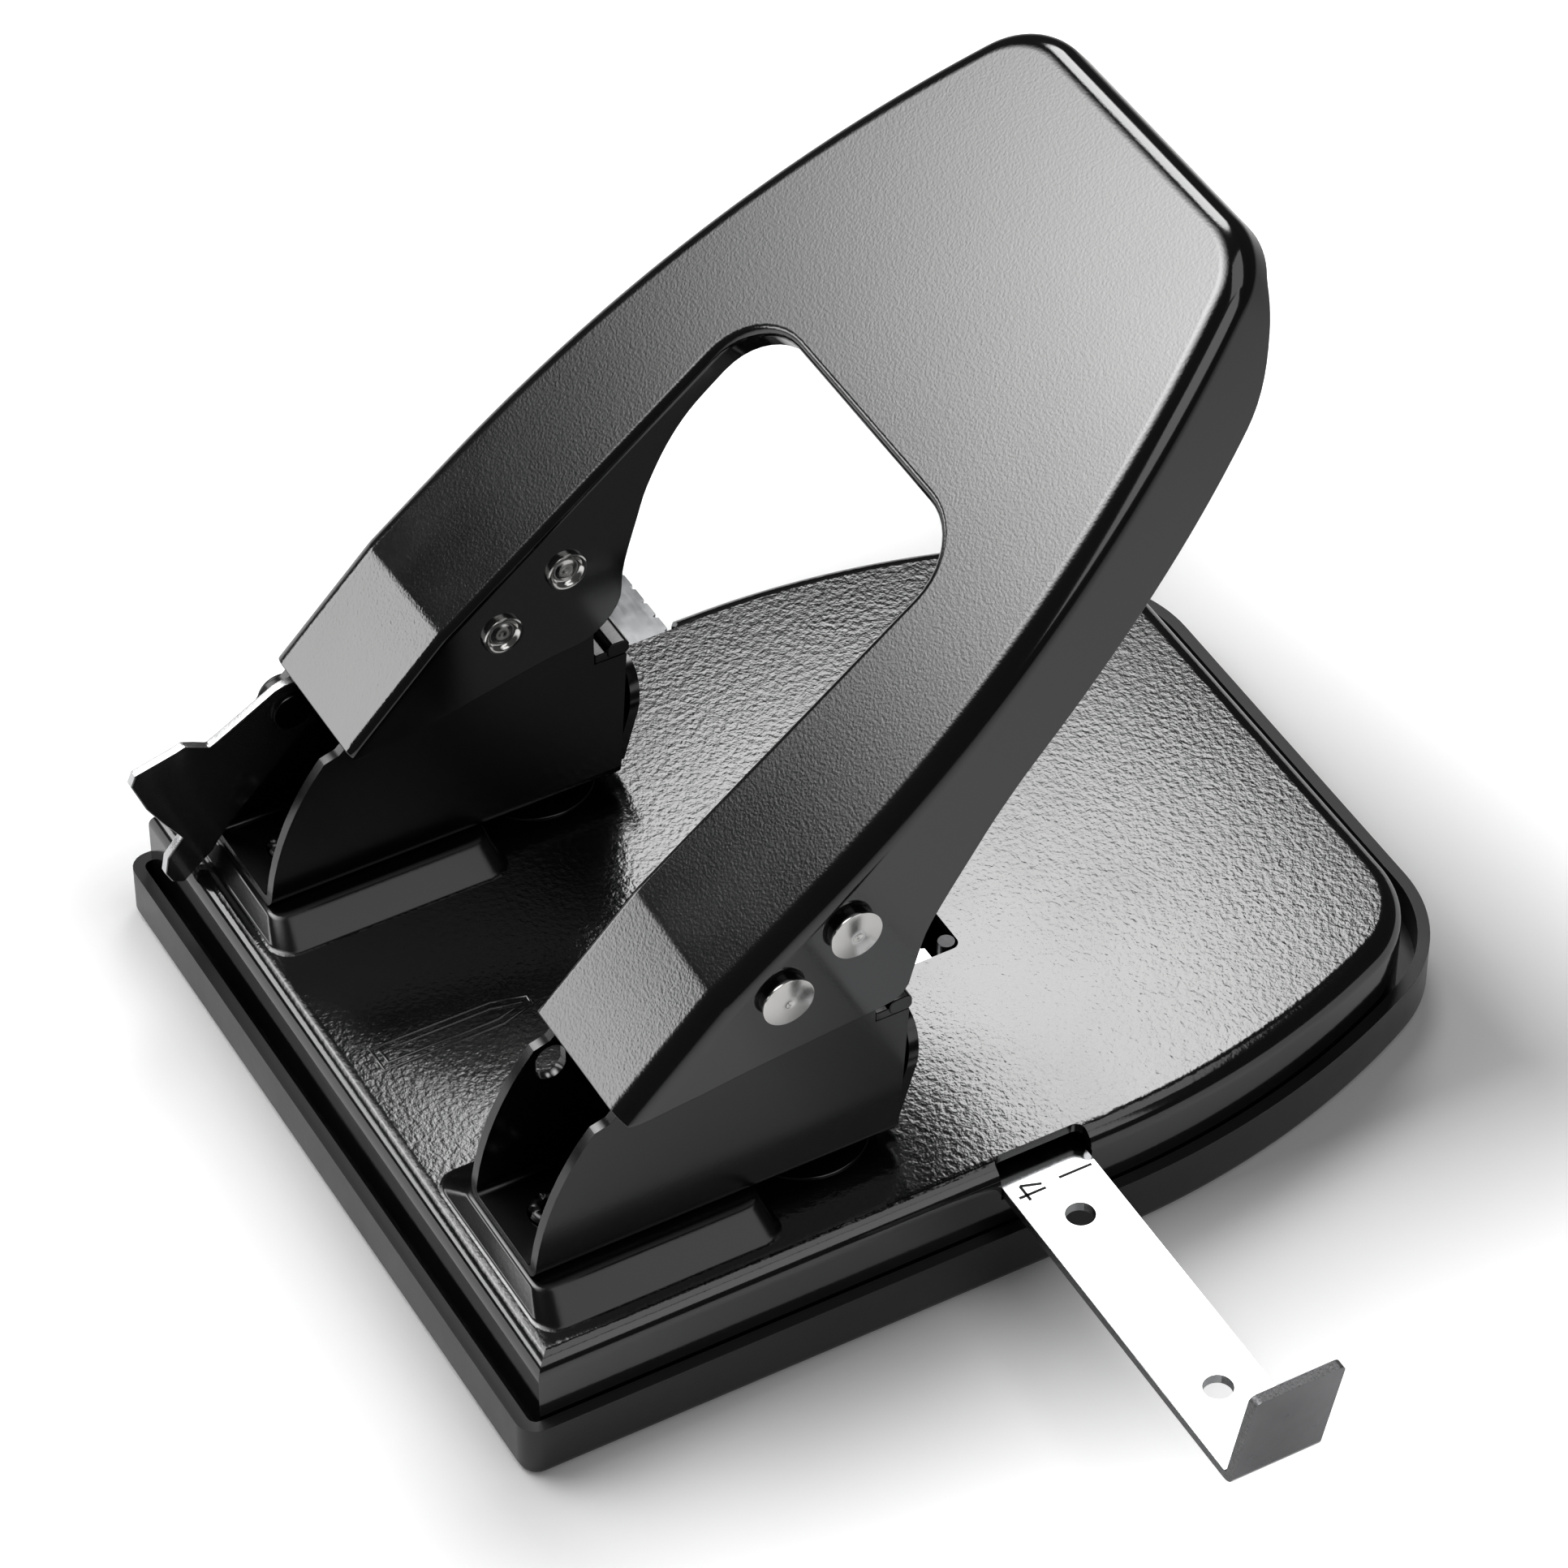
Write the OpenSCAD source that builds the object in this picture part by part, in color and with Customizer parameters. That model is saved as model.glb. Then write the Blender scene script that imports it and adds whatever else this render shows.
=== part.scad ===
// Two-hole punch: pressed steel base and handle, two punch units, chip tray and paper guide.
// X runs across the punch, Y from the hinge end to the grip end and Z up.
// The origin is the middle of the chip tray's underside.

/* [Paper and holes] */
// Distance between the two holes, centre to centre
hole_spacing = 80; // [76:1:84]
// Diameter of the punch pins
pin_d = 6; // [5:0.5:6.5]
// Distance from the paper stop to the line of the holes
hole_edge = 12; // [11:0.5:13]
// Height of the paper throat above the deck
throat_h = 2.6; // [2.2:0.1:3]

/* [Chip tray] */
// Height of the tray's rim above the ground
tray_h = 8.8; // [7.5:0.1:10]
// Thickness of the tray's floor
tray_floor = 1.6; // [1.2:0.1:2]
// Thickness of the tray's rim
tray_wall = 1.8; // [1.2:0.1:2.4]
// Height of the ledge that the base plate stands on, above the tray's floor
ledge_h = 1.4; // [1:0.1:2]
// Width of the ledge inside the base plate's skirt
ledge_w = 2; // [1:0.1:3]
// Gap between the rim and the base plate at the sides
rim_gap = 0.3; // [0.2:0.1:1]
// Gap between the rim and the base plate at the front
front_gap = 1.4; // [0.4:0.1:2]
// Gap between the rim and the base plate at the rear
rear_gap = 5.5; // [4:0.1:7]
// Radius of the tray's front corners
tray_front_r = 3; // [2:0.5:5]
// Radius of the tray's rear corners
tray_corner_r = 22; // [18:0.5:25]

/* [Base plate] */
// Width of the base plate
base_w = 121; // [117:0.5:126]
// Length of the base plate
base_l = 150; // [144:1:160]
// Height of the base plate from the ledge to the deck
base_h = 16.3; // [15:0.1:18]
// Thickness of the base plate's sheet
base_sheet = 1.5; // [1.2:0.1:1.8]
// Radius of the base plate's front corners
base_front_r = 1.5; // [1:0.5:3]
// Radius of the base plate's rear corners
base_corner_r = 17; // [14:0.5:20]
// Outer radius of the bend between deck and skirt
base_bend_r = 3; // [2.4:0.1:4]
// Distance from the middle of the base to where the sides start to draw in
side_turn = 12; // [8:1:16]
// Radius of the long curve along each side of the tray
side_r = 130; // [120:1:150]
// Width of the raised plinth under each bracket, at its foot
plinth_w = 28.7; // [27:0.1:30]
// Distance from the deck's front edge to the plinths
plinth_margin = 4.25; // [3.6:0.05:5]
// Distance from the deck's front edge to the line of the holes
pin_setback = 51.45; // [49:0.05:54]
// Diameter of the raised ring round each die
ring_d = 19; // [17:0.5:20]
// Height of the raised ring round each die
ring_h = 0.3; // [0.1:0.1:0.5]
// Length of the engraved centre pointer
pointer_l = 23.8; // [18:0.1:25]
// Width of the engraved centre pointer
pointer_w = 4.6; // [3.6:0.1:6]

/* [Brackets] */
// Width of each bracket, across its cheeks
bracket_w = 18.7; // [17.5:0.1:19.5]
// Thickness of the brackets' sheet
bracket_sheet = 1.5; // [1.2:0.1:1.8]
// Distance from the line of the holes to the front of a bracket's floor
bracket_front = 46.1; // [45.5:0.1:46.8]
// Distance from the line of the holes to the rear of a bracket's floor
bracket_rear = 9.9; // [9:0.1:11]
// Radius of the cheeks' curved front edge
cheek_r = 42; // [38:1:46]
// Height of the upper pin guide above the bracket's underside
guide_rise = 24; // [22:0.5:25]
// Thickness of the upper pin guide
guide_plate_t = 1.5; // [1.2:0.1:2]
// Width of the tongue that leads the paper into the throat
tongue_w = 12; // [10:0.5:13]
// Height of the tongue above the bracket's underside
tongue_h = 14; // [10:0.5:16]
// Angle at which the tongue leans back
tongue_angle = 16; // [10:1:20]

/* [Handle] */
// Thickness of the handle's sheet
handle_sheet = 1.3; // [1:0.1:1.6]
// Gap between a cheek and the handle's skirts
arm_gap = 1.75; // [1.4:0.05:2.2]
// Distance from the pivot to the handle's rear end, along the handle
handle_reach = 113.2; // [105:0.1:120]
// Distance from the pivot to the handle's front end, along the handle
handle_front = 26.6; // [26:0.1:27.5]
// Height of the handle's top face above the pivot
plate_rise = 8.1; // [8:0.1:9]
// Slope of the handle at rest
handle_slope = 38.24; // [36:0.01:40]
// Further slope of the handle's front end
flap_angle = 7.3; // [5:0.1:9]
// Distance from the pivot to the crease where the front end starts
flap_start = 5.2; // [4:0.1:7]
// Depth of the handle's outer skirt
skirt_depth = 15; // [13:0.5:17]
// Further depth of the outer skirt where it holds the rivets
lobe_depth = 11.1; // [10:0.1:12]
// Depth of the rolled edge round the opening
lip_depth = 4.4; // [3.5:0.1:6]
// Further depth of the inner skirt where it holds the rivets
inner_lobe_depth = 17.9; // [16:0.1:19]
// Depth of the skirt at the handle's rear end
rear_skirt_depth = 6.5; // [5:0.1:9]
// Distance from the pivot to the rear edge of the opening between the arms
opening_reach = 58.4; // [52:0.1:64]
// Radius of the opening's corners
opening_r = 10; // [7:0.5:14]
// Radius of the handle's rear corners
handle_corner_r = 13; // [10:0.5:16]
// Radius of the long curve along each side of the handle
handle_side_r = 232; // [215:1:250]
// Distance from the pivot to where the handle's sides start to draw in
handle_turn = 10.5; // [8:0.5:14]
// Outer radius of the bend round the handle's edge
handle_bend_r = 3; // [2.4:0.1:3.6]

/* [Drive] */
// Height of the handle's pivot above the bracket's underside
pivot_rise = 39.7; // [39:0.1:41]
// Distance from the line of the holes to the handle's pivot
pivot_setback = 9.7; // [9.4:0.1:10.2]
// Distance from the pivot to the drive rivet
drive_arm = 12.6; // [12.2:0.1:13]
// Angle of the drive rivet above the pivot, at rest
drive_angle = 36; // [34:1:38]
// Angle through which the handle is pressed
press_angle = 42; // [38:1:42]
// Diameter of the rivets' shanks
rivet_d = 5; // [4.5:0.1:5.2]
// Diameter of the rivets' heads
rivet_head_d = 7.5; // [7:0.1:8]
// Height of the rivets' heads
rivet_head_h = 2.6; // [2:0.1:3]
// Diameter of the caps on the pins
cap_d = 9.6; // [9.2:0.1:10.4]
// Height of the caps on the pins
cap_h = 3; // [2.6:0.1:3.6]
// Outer diameter of the dies' collars
die_d = 11; // [10:0.5:13]
// Diameter of the dies' flanges
die_flange_d = 15; // [14:0.5:18]
// Thickness of the dies' flanges
die_flange_t = 1.5; // [1:0.1:2]
// Thickness of the return springs' wire
spring_wire = 1; // [0.8:0.1:1.1]
// Number of turns of each return spring
spring_turns = 5.5; // [4.5:0.5:6]

/* [Lock lever] */
// Thickness of the lock lever
lever_t = 1.5; // [1.2:0.1:1.8]
// Reach of the lock lever in front of its pivot
lever_reach = 25.2; // [23:0.1:26]
// Drop of the lock lever below its pivot
lever_drop = 25.4; // [24:0.1:26]
// Radius of the lock lever round its pivot
lever_eye_r = 5; // [4.4:0.1:5.2]
// Diameter of the lock lever's rivet
lock_rivet_d = 4.4; // [4:0.1:4.4]
// Width of the oval hole in each bracket's left cheek
oval_w = 4.5; // [4.5:0.1:5]
// Height of the oval hole in each bracket's left cheek
oval_h = 6; // [5.4:0.1:6.6]

/* [Paper guide] */
// Length of the guide bar
guide_l = 199.4; // [190:0.1:210]
// Width of the guide bar
guide_w = 13.8; // [12.6:0.1:15]
// Thickness of the guide bar
guide_t = 1.6; // [1.2:0.1:1.8]
// How far the bar stands out to the right of the middle
guide_out = 119.4; // [112:0.1:124]
// Distance from the middle of the base to the middle of the bar
guide_y = 1.5; // [-1:0.1:3]
// Depth of the bar's top face below the deck
guide_depth = 3.5; // [3.2:0.1:4]
// Height of the upturned end
tab_h = 20.8; // [16:0.1:24]
// Angle at which the upturned end leans out
tab_angle = 12; // [0:1:18]
// Diameter of the holes in the bar
guide_hole_d = 4.2; // [3:0.1:5]
// Distance between the holes in the bar
guide_hole_spacing = 35.4; // [30:0.1:38]
// Distance between the notches in the bar's rear edge
notch_pitch = 3.6; // [3:0.1:5]
// Number of notches to the right of the peg
notches_right = 7; // [4:1:9]

/* [Hidden] */
$fn = 48;

// How far a cut runs past the face that it opens
over = 1;
// Thickness of a layer that only carries an outline
film = 0.01;
// Radial clearance of a running fit
run = 0.05;
// Radial clearance of a seated fit
seat = 0.02;
// Gap between moving faces
gap = 0.3;
// Gap between faces that nearly touch
near = 0.1;
// Steps in a long curve of an outline
curve_steps = 10;
// Steps in a bend
bend_steps = 5;

// Levels, from the ground up
seat_z = tray_floor + ledge_h;
deck_z = seat_z + base_h;
deck_under_z = deck_z - base_sheet;
plinth_z = deck_z + throat_h;
floor_z = plinth_z + bracket_sheet;
guide_seat_z = plinth_z + guide_rise;
guide_top_z = guide_seat_z + guide_plate_t;
pivot_z = plinth_z + pivot_rise;

// Plan of the base and the tray
tray_w = base_w + 2 * (rim_gap + tray_wall);
tray_l = base_l + front_gap + rear_gap + 2 * tray_wall;
base_inset = rim_gap + tray_wall;
base_y0 = -tray_l / 2 + tray_wall + front_gap;
base_y1 = base_y0 + base_l;
pin_y = base_y0 + pin_setback;
stop_y = pin_y - hole_edge;
plinth_y0 = base_y0 + plinth_margin;
plinth_r = 2;
plinth_side_run = 3.15;
plinth_front_run = 1;
pointer_margin = 2.4;
pin_x = hole_spacing / 2;
SIDES = [-1, 1];

// Brackets
floor_y0 = pin_y - bracket_front;
floor_y1 = pin_y + bracket_rear;
bracket_bend_in_r = 1;
bracket_bend_r = bracket_sheet + bracket_bend_in_r;
cheek_turn_drop = 2.4;
cheek_turn_z = plinth_z - cheek_turn_drop;
cheek_tip_back = 1.1;
cheek_tip_drop = 0.7;
cheek_lean = 1.4;
guide_seat_l = 5.2;
notch_y = floor_y1 + cheek_lean - guide_seat_l;
cheek_wall_h = 10.1;
ear_r = 6;
ear_low_angle = -30;
guide_forward = 8;
oval_back = 12.1;
oval_rise = 21;
rivet_rows = [7.7, 24];
floor_rivet_d = 4;
floor_rivet_head_d = 7;
floor_rivet_head_h = 1.1;
tongue_foot = 0.8;

// Handle, in its own frame: the pivot is the origin, along the handle is Y and out of its top is Z
pivot_y = pin_y - pivot_setback;
arm_outer = pin_x + bracket_w / 2 + arm_gap + handle_sheet;
arm_inner = pin_x - bracket_w / 2 - arm_gap - handle_sheet;
flap_drop = (handle_front - flap_start) * tan(flap_angle);
// Lower edge of the outer skirt: shares of handle_front along and of lobe_depth down
skirt_shares = [[-0.96, -0.97], [-0.88, -0.72], [-0.43, -0.09], [0.18, 0.85], [0.27, 0.97],
    [0.35, 1], [0.42, 0.92], [0.48, 0.8], [0.71, 0.47], [1.23, 0.13], [1.5, 0.03], [1.75, 0]];
// Lower edge of the inner skirt: shares of handle_front along and of inner_lobe_depth down
inner_skirt_shares = [[-1.1, 0], [-0.96, 0], [-0.88, 0.15], [-0.43, 0.48], [0.05, 0.83],
    [0.2, 0.97], [0.3, 1], [0.4, 0.99], [0.5, 0.94], [0.57, 0.84], [0.66, 0.7], [0.92, 0.42],
    [1.07, 0.27], [1.35, 0.08], [1.6, 0]];

// Drive: the rivet's height falls by the stroke while the handle is pressed
drive_y = pivot_y + drive_arm * cos(drive_angle);
drive_z = pivot_z + drive_arm * sin(drive_angle);
stroke = drive_arm * (sin(drive_angle) - sin(drive_angle - press_angle));
pin_top_z = drive_z - rivet_d / 2 - run;
pin_rest_h = 0.4;
pin_tip_z = plinth_z + pin_rest_h;
cap_z = pin_top_z - cap_h;
cap_socket = cap_h / 2;
spring_play = 0.6;
spring_d = pin_d + 2 * run + spring_play + spring_wire;
spring_z0 = guide_top_z + spring_wire / 2 + near;
spring_z1 = cap_z - spring_wire / 2 - near;
head_gap = 0.2;
tail_d = 6;
tail_h = 1.2;
dimple_d = 1.4;
dimple_h = 0.3;

// Lock lever: shares of its reach forward and of its drop, from the pivot
lever_shares = [[-0.45, -0.03], [-0.51, -0.06], [-0.59, -0.02], [-0.66, 0.01], [-0.72, -0.01],
    [-0.97, -0.07], [-1, -0.14], [-0.92, -0.35], [-0.83, -0.5], [-0.72, -0.66], [-0.82, -0.78],
    [-0.84, -0.89], [-0.8, -0.97], [-0.73, -1], [-0.67, -0.95], [-0.54, -0.84], [-0.5, -0.78],
    [-0.38, -0.64], [-0.26, -0.52], [-0.1, -0.36]];
lever_y = pin_y - bracket_front + oval_back;
lever_z = plinth_z + oval_rise;
lever_x = -pin_x - bracket_w / 2 + bracket_sheet + near;
lock_head_d = 7;
lock_head_h = 1.5;

// Paper guide
guide_z1 = deck_z - guide_depth;
guide_z0 = guide_z1 - guide_t;
guide_y0 = guide_y - guide_w / 2;
guide_y1 = guide_y + guide_w / 2;
guide_x0 = guide_out - guide_l;
guide_hole_margin = 14.6;
notch_depth = 0.6;
slot_y0 = guide_y0 - gap;
slot_y1 = guide_y1 + gap;
slot_margin = 3.2;
rail_w = 8;
rail_t = 1;
rail_foot = 4;
rail_x = base_w / 2 - slot_margin - rail_w / 2 - gap;
window_l = 14.2;
window_w = 13;
window_x1 = 20.2;
window_gap = 3.1;
window_y1 = guide_y1 + window_gap;
peg_d = 2.6;
peg_inset = 1.8;
peg_x = window_x1 - peg_inset;
detent_l = 14;
detent_t = 0.8;
detent_foot = 8;

// Points of an arc round a centre
function arc(centre, r, from, to, steps = bend_steps) = [for (i = [0 : steps])
    let (a = from + (to - from) * i / steps)
    [centre[0] + r * cos(a), centre[1] + r * sin(a)]];

// Right half of a plan: a front corner, a straight side that draws in along a long curve and a
// round rear corner. All of it moves in by the inset.
function half_plan(half_w, y0, y1, front_r, turn, long_r, corner_r, inset) =
    let (reach = long_r - corner_r,
         rise = y1 - corner_r - turn,
         corner = [half_w - long_r + sqrt(reach * reach - rise * rise), y1 - corner_r],
         blend = asin(rise / reach),
         r = front_r - inset,
         sharp = [half_w - inset, y0 + inset])
    concat(r < near ? [sharp] : arc(sharp + [-r, r], r, -90, 0),
        arc([half_w - long_r, turn], long_r - inset, 0, blend, curve_steps),
        arc(corner, corner_r - inset, blend, 90, curve_steps));

// Both halves of a plan
function full_plan(half) = concat(half, [for (i = [len(half) - 1 : -1 : 0]) [-half[i][0], half[i][1]]]);

function tray_plan(inset) = full_plan(half_plan(tray_w / 2, -tray_l / 2, tray_l / 2,
    tray_front_r, side_turn, side_r, tray_corner_r, inset));
function base_plan(inset) = full_plan(half_plan(base_w / 2, base_y0, base_y1,
    base_front_r, side_turn, side_r - base_inset, base_corner_r, inset));
function handle_plan(inset) = full_plan(half_plan(arm_outer, -handle_front - 2 * over, handle_reach,
    0, handle_turn, handle_side_r, handle_corner_r, inset));

// Place in the world of a point given along and above the handle
function on_handle(along, up) = [
    pivot_y + along * cos(handle_slope) - up * sin(handle_slope),
    pivot_z + along * sin(handle_slope) + up * cos(handle_slope)];

// Extrude a shape drawn in Y and Z along X
module along_x(x0, x1) {
    translate([x0, 0, 0]) rotate([90, 0, 90]) linear_extrude(x1 - x0) children();
}

// Extrude a shape drawn in X and Z along Y
module along_y(y0, y1) {
    translate([0, y1, 0]) rotate([90, 0, 0]) linear_extrude(y1 - y0) children();
}

// Box between two corners
module block(low, high) {
    translate(low) cube(high - low);
}

// Rod along X
module rod_x(x0, x1, y, z, d) {
    translate([x0, y, z]) rotate([0, 90, 0]) cylinder(d = d, h = x1 - x0);
}

// Head of a rivet on Z: a neck, a rim and a low dome with a dimple
module rivet_head(d, h) {
    neck_share = 0.3;
    rim_share = 0.55;
    neck_width_share = 0.84;
    neck = h * neck_share;
    neck_r = d / 2 * neck_width_share;
    rim = h * rim_share;
    difference() {
        rotate_extrude() polygon(concat([[0, 0], [neck_r, 0], [neck_r, neck], [d / 2, neck], [d / 2, rim]],
            [for (i = [1 : bend_steps])
                let (a = 90 * i / bend_steps) [d / 2 * cos(a), rim + (h - rim) * sin(a)]]));
        translate([0, 0, h - dimple_h]) cylinder(d = dimple_d, h = over);
    }
}

// Rivet along X through both skirts of an arm, with its head on the outer side
module arm_rivet(side, y, z) {
    inner = arm_inner - head_gap;
    outer = arm_outer + head_gap;
    mirror([side < 0 ? 1 : 0, 0, 0]) {
        rod_x(inner - tail_h, outer, y, z, rivet_d);
        translate([inner, y, z]) rotate([0, -90, 0]) cylinder(d = tail_d + near, h = tail_h);
        translate([outer, y, z]) rotate([0, 90, 0]) rivet_head(rivet_head_d, rivet_head_h);
    }
}

// Solid blank of the base plate, with a rounded upper edge
module base_blank(inset) {
    r = base_bend_r - inset;
    hull() {
        translate([0, 0, seat_z - (inset > 0 ? over : 0)])
            linear_extrude(deck_z - base_bend_r - seat_z) polygon(base_plan(inset));
        for (i = [0 : bend_steps])
            let (a = 90 * i / bend_steps)
            translate([0, 0, deck_z - base_bend_r + r * sin(a) - film])
                linear_extrude(film) polygon(base_plan(inset + r * (1 - cos(a))));
    }
}

// Rectangle with round corners
module round_box(x0, x1, y0, y1, z0, z1, r) {
    translate([0, 0, z0]) linear_extrude(z1 - z0)
        polygon(concat(arc([x1 - r, y1 - r], r, 0, 90), arc([x0 + r, y1 - r], r, 90, 180),
            arc([x0 + r, y0 + r], r, 180, 270), arc([x1 - r, y0 + r], r, 270, 360)));
}

// Outline of the pointer, moved in by an inset
module pointer(inset) {
    straight_share = 0.78;
    tip_share = 0.2;
    w = pointer_w / 2 - inset;
    tip = pointer_w * tip_share - inset / 2;
    y0 = plinth_y0 + pointer_margin + inset;
    y1 = plinth_y0 + pointer_margin + pointer_l - inset;
    bend_y = y0 + pointer_l * straight_share;
    polygon([[-w, y0], [w, y0], [w, bend_y], [tip, y1], [-tip, y1], [-w, bend_y]]);
}

// Plinth pressed up from the deck, with sloping sides and an upright paper stop at its rear
module plinth(side, inset) {
    x = side * pin_x;
    half = plinth_w / 2 - inset;
    y0 = plinth_y0 + inset;
    r = plinth_r - inset / 2;
    hull() {
        round_box(x - half, x + half, y0, stop_y - inset, deck_under_z - inset, deck_z - inset, r);
        round_box(x - half + plinth_side_run, x + half - plinth_side_run, y0 + plinth_front_run,
            stop_y - inset, plinth_z - inset - film, plinth_z - inset, r);
    }
}

module base_plate() {
    engraved = 0.3;
    line_w = 0.5;
    slot_x = base_w / 2 - slot_margin;
    color("#202122") difference() {
        union() {
            difference() {
                base_blank(0);
                base_blank(base_sheet);
            }
            for (side = SIDES) plinth(side, 0);
            for (side = SIDES)
                translate([side * pin_x, pin_y, deck_under_z])
                    cylinder(d = ring_d, h = base_sheet + ring_h);
        }
        for (side = SIDES) {
            plinth(side, base_sheet);
            translate([side * pin_x, pin_y, deck_under_z - over])
                cylinder(d = die_d + 2 * seat, h = base_sheet + ring_h + 2 * over);
            for (row = rivet_rows)
                translate([side * pin_x, floor_y0 + row, deck_under_z])
                    cylinder(d = floor_rivet_d + 2 * seat, h = throat_h + base_sheet + over);
        }
        // Slot for the guide through both skirts, open at the edge of the deck
        block([-base_w / 2 - over, slot_y0, guide_z0 - gap], [base_w / 2 + over, slot_y1, guide_z1 + gap]);
        block([slot_x, slot_y0, guide_z0 - gap], [base_w / 2 + over, slot_y1, deck_z + over]);
        block([-base_w / 2 - over, slot_y0, guide_z0 - gap], [-slot_x, slot_y1, deck_z + over]);
        block([window_x1 - window_l, window_y1 - window_w, deck_under_z - over],
            [window_x1, window_y1, deck_z + over]);
        translate([0, 0, deck_z - engraved]) linear_extrude(engraved + over) difference() {
            pointer(0);
            pointer(line_w);
        }
    }
}

module chip_tray() {
    draft = 0.5;
    color("#161616") difference() {
        union() {
            linear_extrude(tray_floor) polygon(tray_plan(draft));
            translate([0, 0, tray_floor]) linear_extrude(tray_h - tray_floor) polygon(tray_plan(0));
        }
        translate([0, 0, seat_z]) linear_extrude(tray_h) polygon(tray_plan(tray_wall));
        translate([0, 0, tray_floor]) linear_extrude(tray_h) polygon(base_plan(base_sheet + ledge_w));
    }
}

module die(side) {
    color("#8f9296") translate([side * pin_x, pin_y, 0]) difference() {
        union() {
            translate([0, 0, deck_under_z]) cylinder(d = die_d, h = base_sheet + ring_h);
            translate([0, 0, deck_under_z - die_flange_t]) cylinder(d = die_flange_d, h = die_flange_t);
        }
        translate([0, 0, deck_under_z - die_flange_t - over])
            cylinder(d = pin_d + 2 * run, h = die_flange_t + base_sheet + ring_h + 2 * over);
    }
}

// Cross-section of a bracket: a channel with round bends
module channel(inset, top) {
    half = bracket_w / 2 - inset;
    r = bracket_bend_r - inset;
    low = plinth_z + inset;
    polygon(concat([[half, top], [-half, top]],
        arc([-half + r, low + r], r, 180, 270), arc([half - r, low + r], r, 270, 360)));
}

// Side view of a cheek
module cheek_outline() {
    front = [floor_y0 + cheek_r, cheek_turn_z];
    tip = on_handle(-handle_front, plate_rise - flap_drop - handle_sheet - gap)
        - [cheek_tip_back, cheek_tip_back * tan(handle_slope + flap_angle)];
    front_top = asin((tip[1] - cheek_tip_drop - cheek_turn_z) / cheek_r);
    crease = on_handle(-flap_start, ear_r);
    polygon(concat(
        [[floor_y0, plinth_z - over], [floor_y1, plinth_z - over], [floor_y1, plinth_z],
            [floor_y1 + cheek_lean, guide_seat_z], [notch_y, guide_seat_z],
            [notch_y, guide_seat_z + cheek_wall_h]],
        arc([pivot_y, pivot_z], ear_r, ear_low_angle, handle_slope + 90, 2 * bend_steps),
        [crease, tip],
        arc(front, cheek_r, 180 - front_top, 180, curve_steps)));
}

// Tongue behind the floor, leaning back to lead the paper in
module tongue() {
    lean = tan(tongue_angle);
    thick = bracket_sheet / cos(tongue_angle);
    foot = floor_y1 + tongue_foot;
    root = foot + lean * tongue_h;
    intersection() {
        along_x(-tongue_w / 2, tongue_w / 2)
            polygon([[floor_y1 - over, plinth_z], [foot + thick, plinth_z],
                [root + thick, plinth_z + tongue_h], [root, plinth_z + tongue_h],
                [foot + lean * bracket_sheet, floor_z], [floor_y1 - over, floor_z]]);
        along_y(floor_y1 - 2 * over, root + thick + over) {
            translate([-tongue_w / 2, plinth_z - over]) square([tongue_w, tongue_h - tongue_w / 2 + over]);
            translate([0, plinth_z + tongue_h - tongue_w / 2]) circle(d = tongue_w);
        }
    }
}

module bracket(side) {
    top = pivot_z + 2 * ear_r;
    half = bracket_w / 2 + over;
    color("#1c1d1e") translate([side * pin_x, 0, 0]) difference() {
        union() {
            intersection() {
                difference() {
                    along_y(floor_y0, floor_y1 + 2 * cheek_lean) channel(0, top);
                    along_y(floor_y0 - over, floor_y1 + 2 * cheek_lean + over) channel(bracket_sheet, top + over);
                }
                along_x(-half, half) cheek_outline();
            }
            tongue();
        }
        rod_x(-half, half, pivot_y, pivot_z, rivet_d + 2 * seat);
        for (up = [-1, 1])
            rod_x(-half, 0, lever_y, lever_z + up * (oval_h - oval_w) / 2, oval_w);
        block([-half, lever_y - oval_w / 2, lever_z - (oval_h - oval_w) / 2],
            [0, lever_y + oval_w / 2, lever_z + (oval_h - oval_w) / 2]);
        translate([0, pin_y, plinth_z - over]) cylinder(d = pin_d + 2 * run, h = bracket_sheet + 2 * over);
        for (row = rivet_rows)
            translate([0, floor_y0 + row, plinth_z - over])
                cylinder(d = floor_rivet_d + 2 * seat, h = bracket_sheet + 2 * over);
    }
}

// Four rivets that hold the brackets down, each with a spread collar on top
module bracket_rivets() {
    color("#3a3b3d") for (side = SIDES, row = rivet_rows)
        translate([side * pin_x, floor_y0 + row, 0]) {
            translate([0, 0, plinth_z - base_sheet]) cylinder(d = floor_rivet_d, h = base_sheet + bracket_sheet);
            translate([0, 0, floor_z]) difference() {
                cylinder(d = floor_rivet_head_d, h = floor_rivet_head_h);
                translate([0, 0, floor_rivet_head_h / 2]) cylinder(d = floor_rivet_d / 2, h = over);
            }
            translate([0, 0, plinth_z - base_sheet - floor_rivet_head_h])
                cylinder(d = floor_rivet_head_d, h = floor_rivet_head_h);
        }
}

// Plate in the rear notches of the cheeks, which guides the pin's upper half
module pin_guide(side) {
    inner = bracket_w / 2 - bracket_sheet - near;
    rear = floor_y1 + cheek_lean;
    color("#26272a") translate([side * pin_x, 0, 0]) difference() {
        union() {
            block([-bracket_w / 2, notch_y + near, guide_seat_z], [bracket_w / 2, rear, guide_top_z]);
            block([-inner, pin_y - guide_forward, guide_seat_z], [inner, notch_y + over, guide_top_z]);
        }
        translate([0, pin_y, guide_seat_z - over]) cylinder(d = pin_d + 2 * run, h = guide_plate_t + 2 * over);
    }
}

module punch_pin(side) {
    color("#b9bcc0") translate([side * pin_x, pin_y, pin_tip_z])
        cylinder(d = pin_d, h = pin_top_z - cap_socket - pin_tip_z);
}

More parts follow.
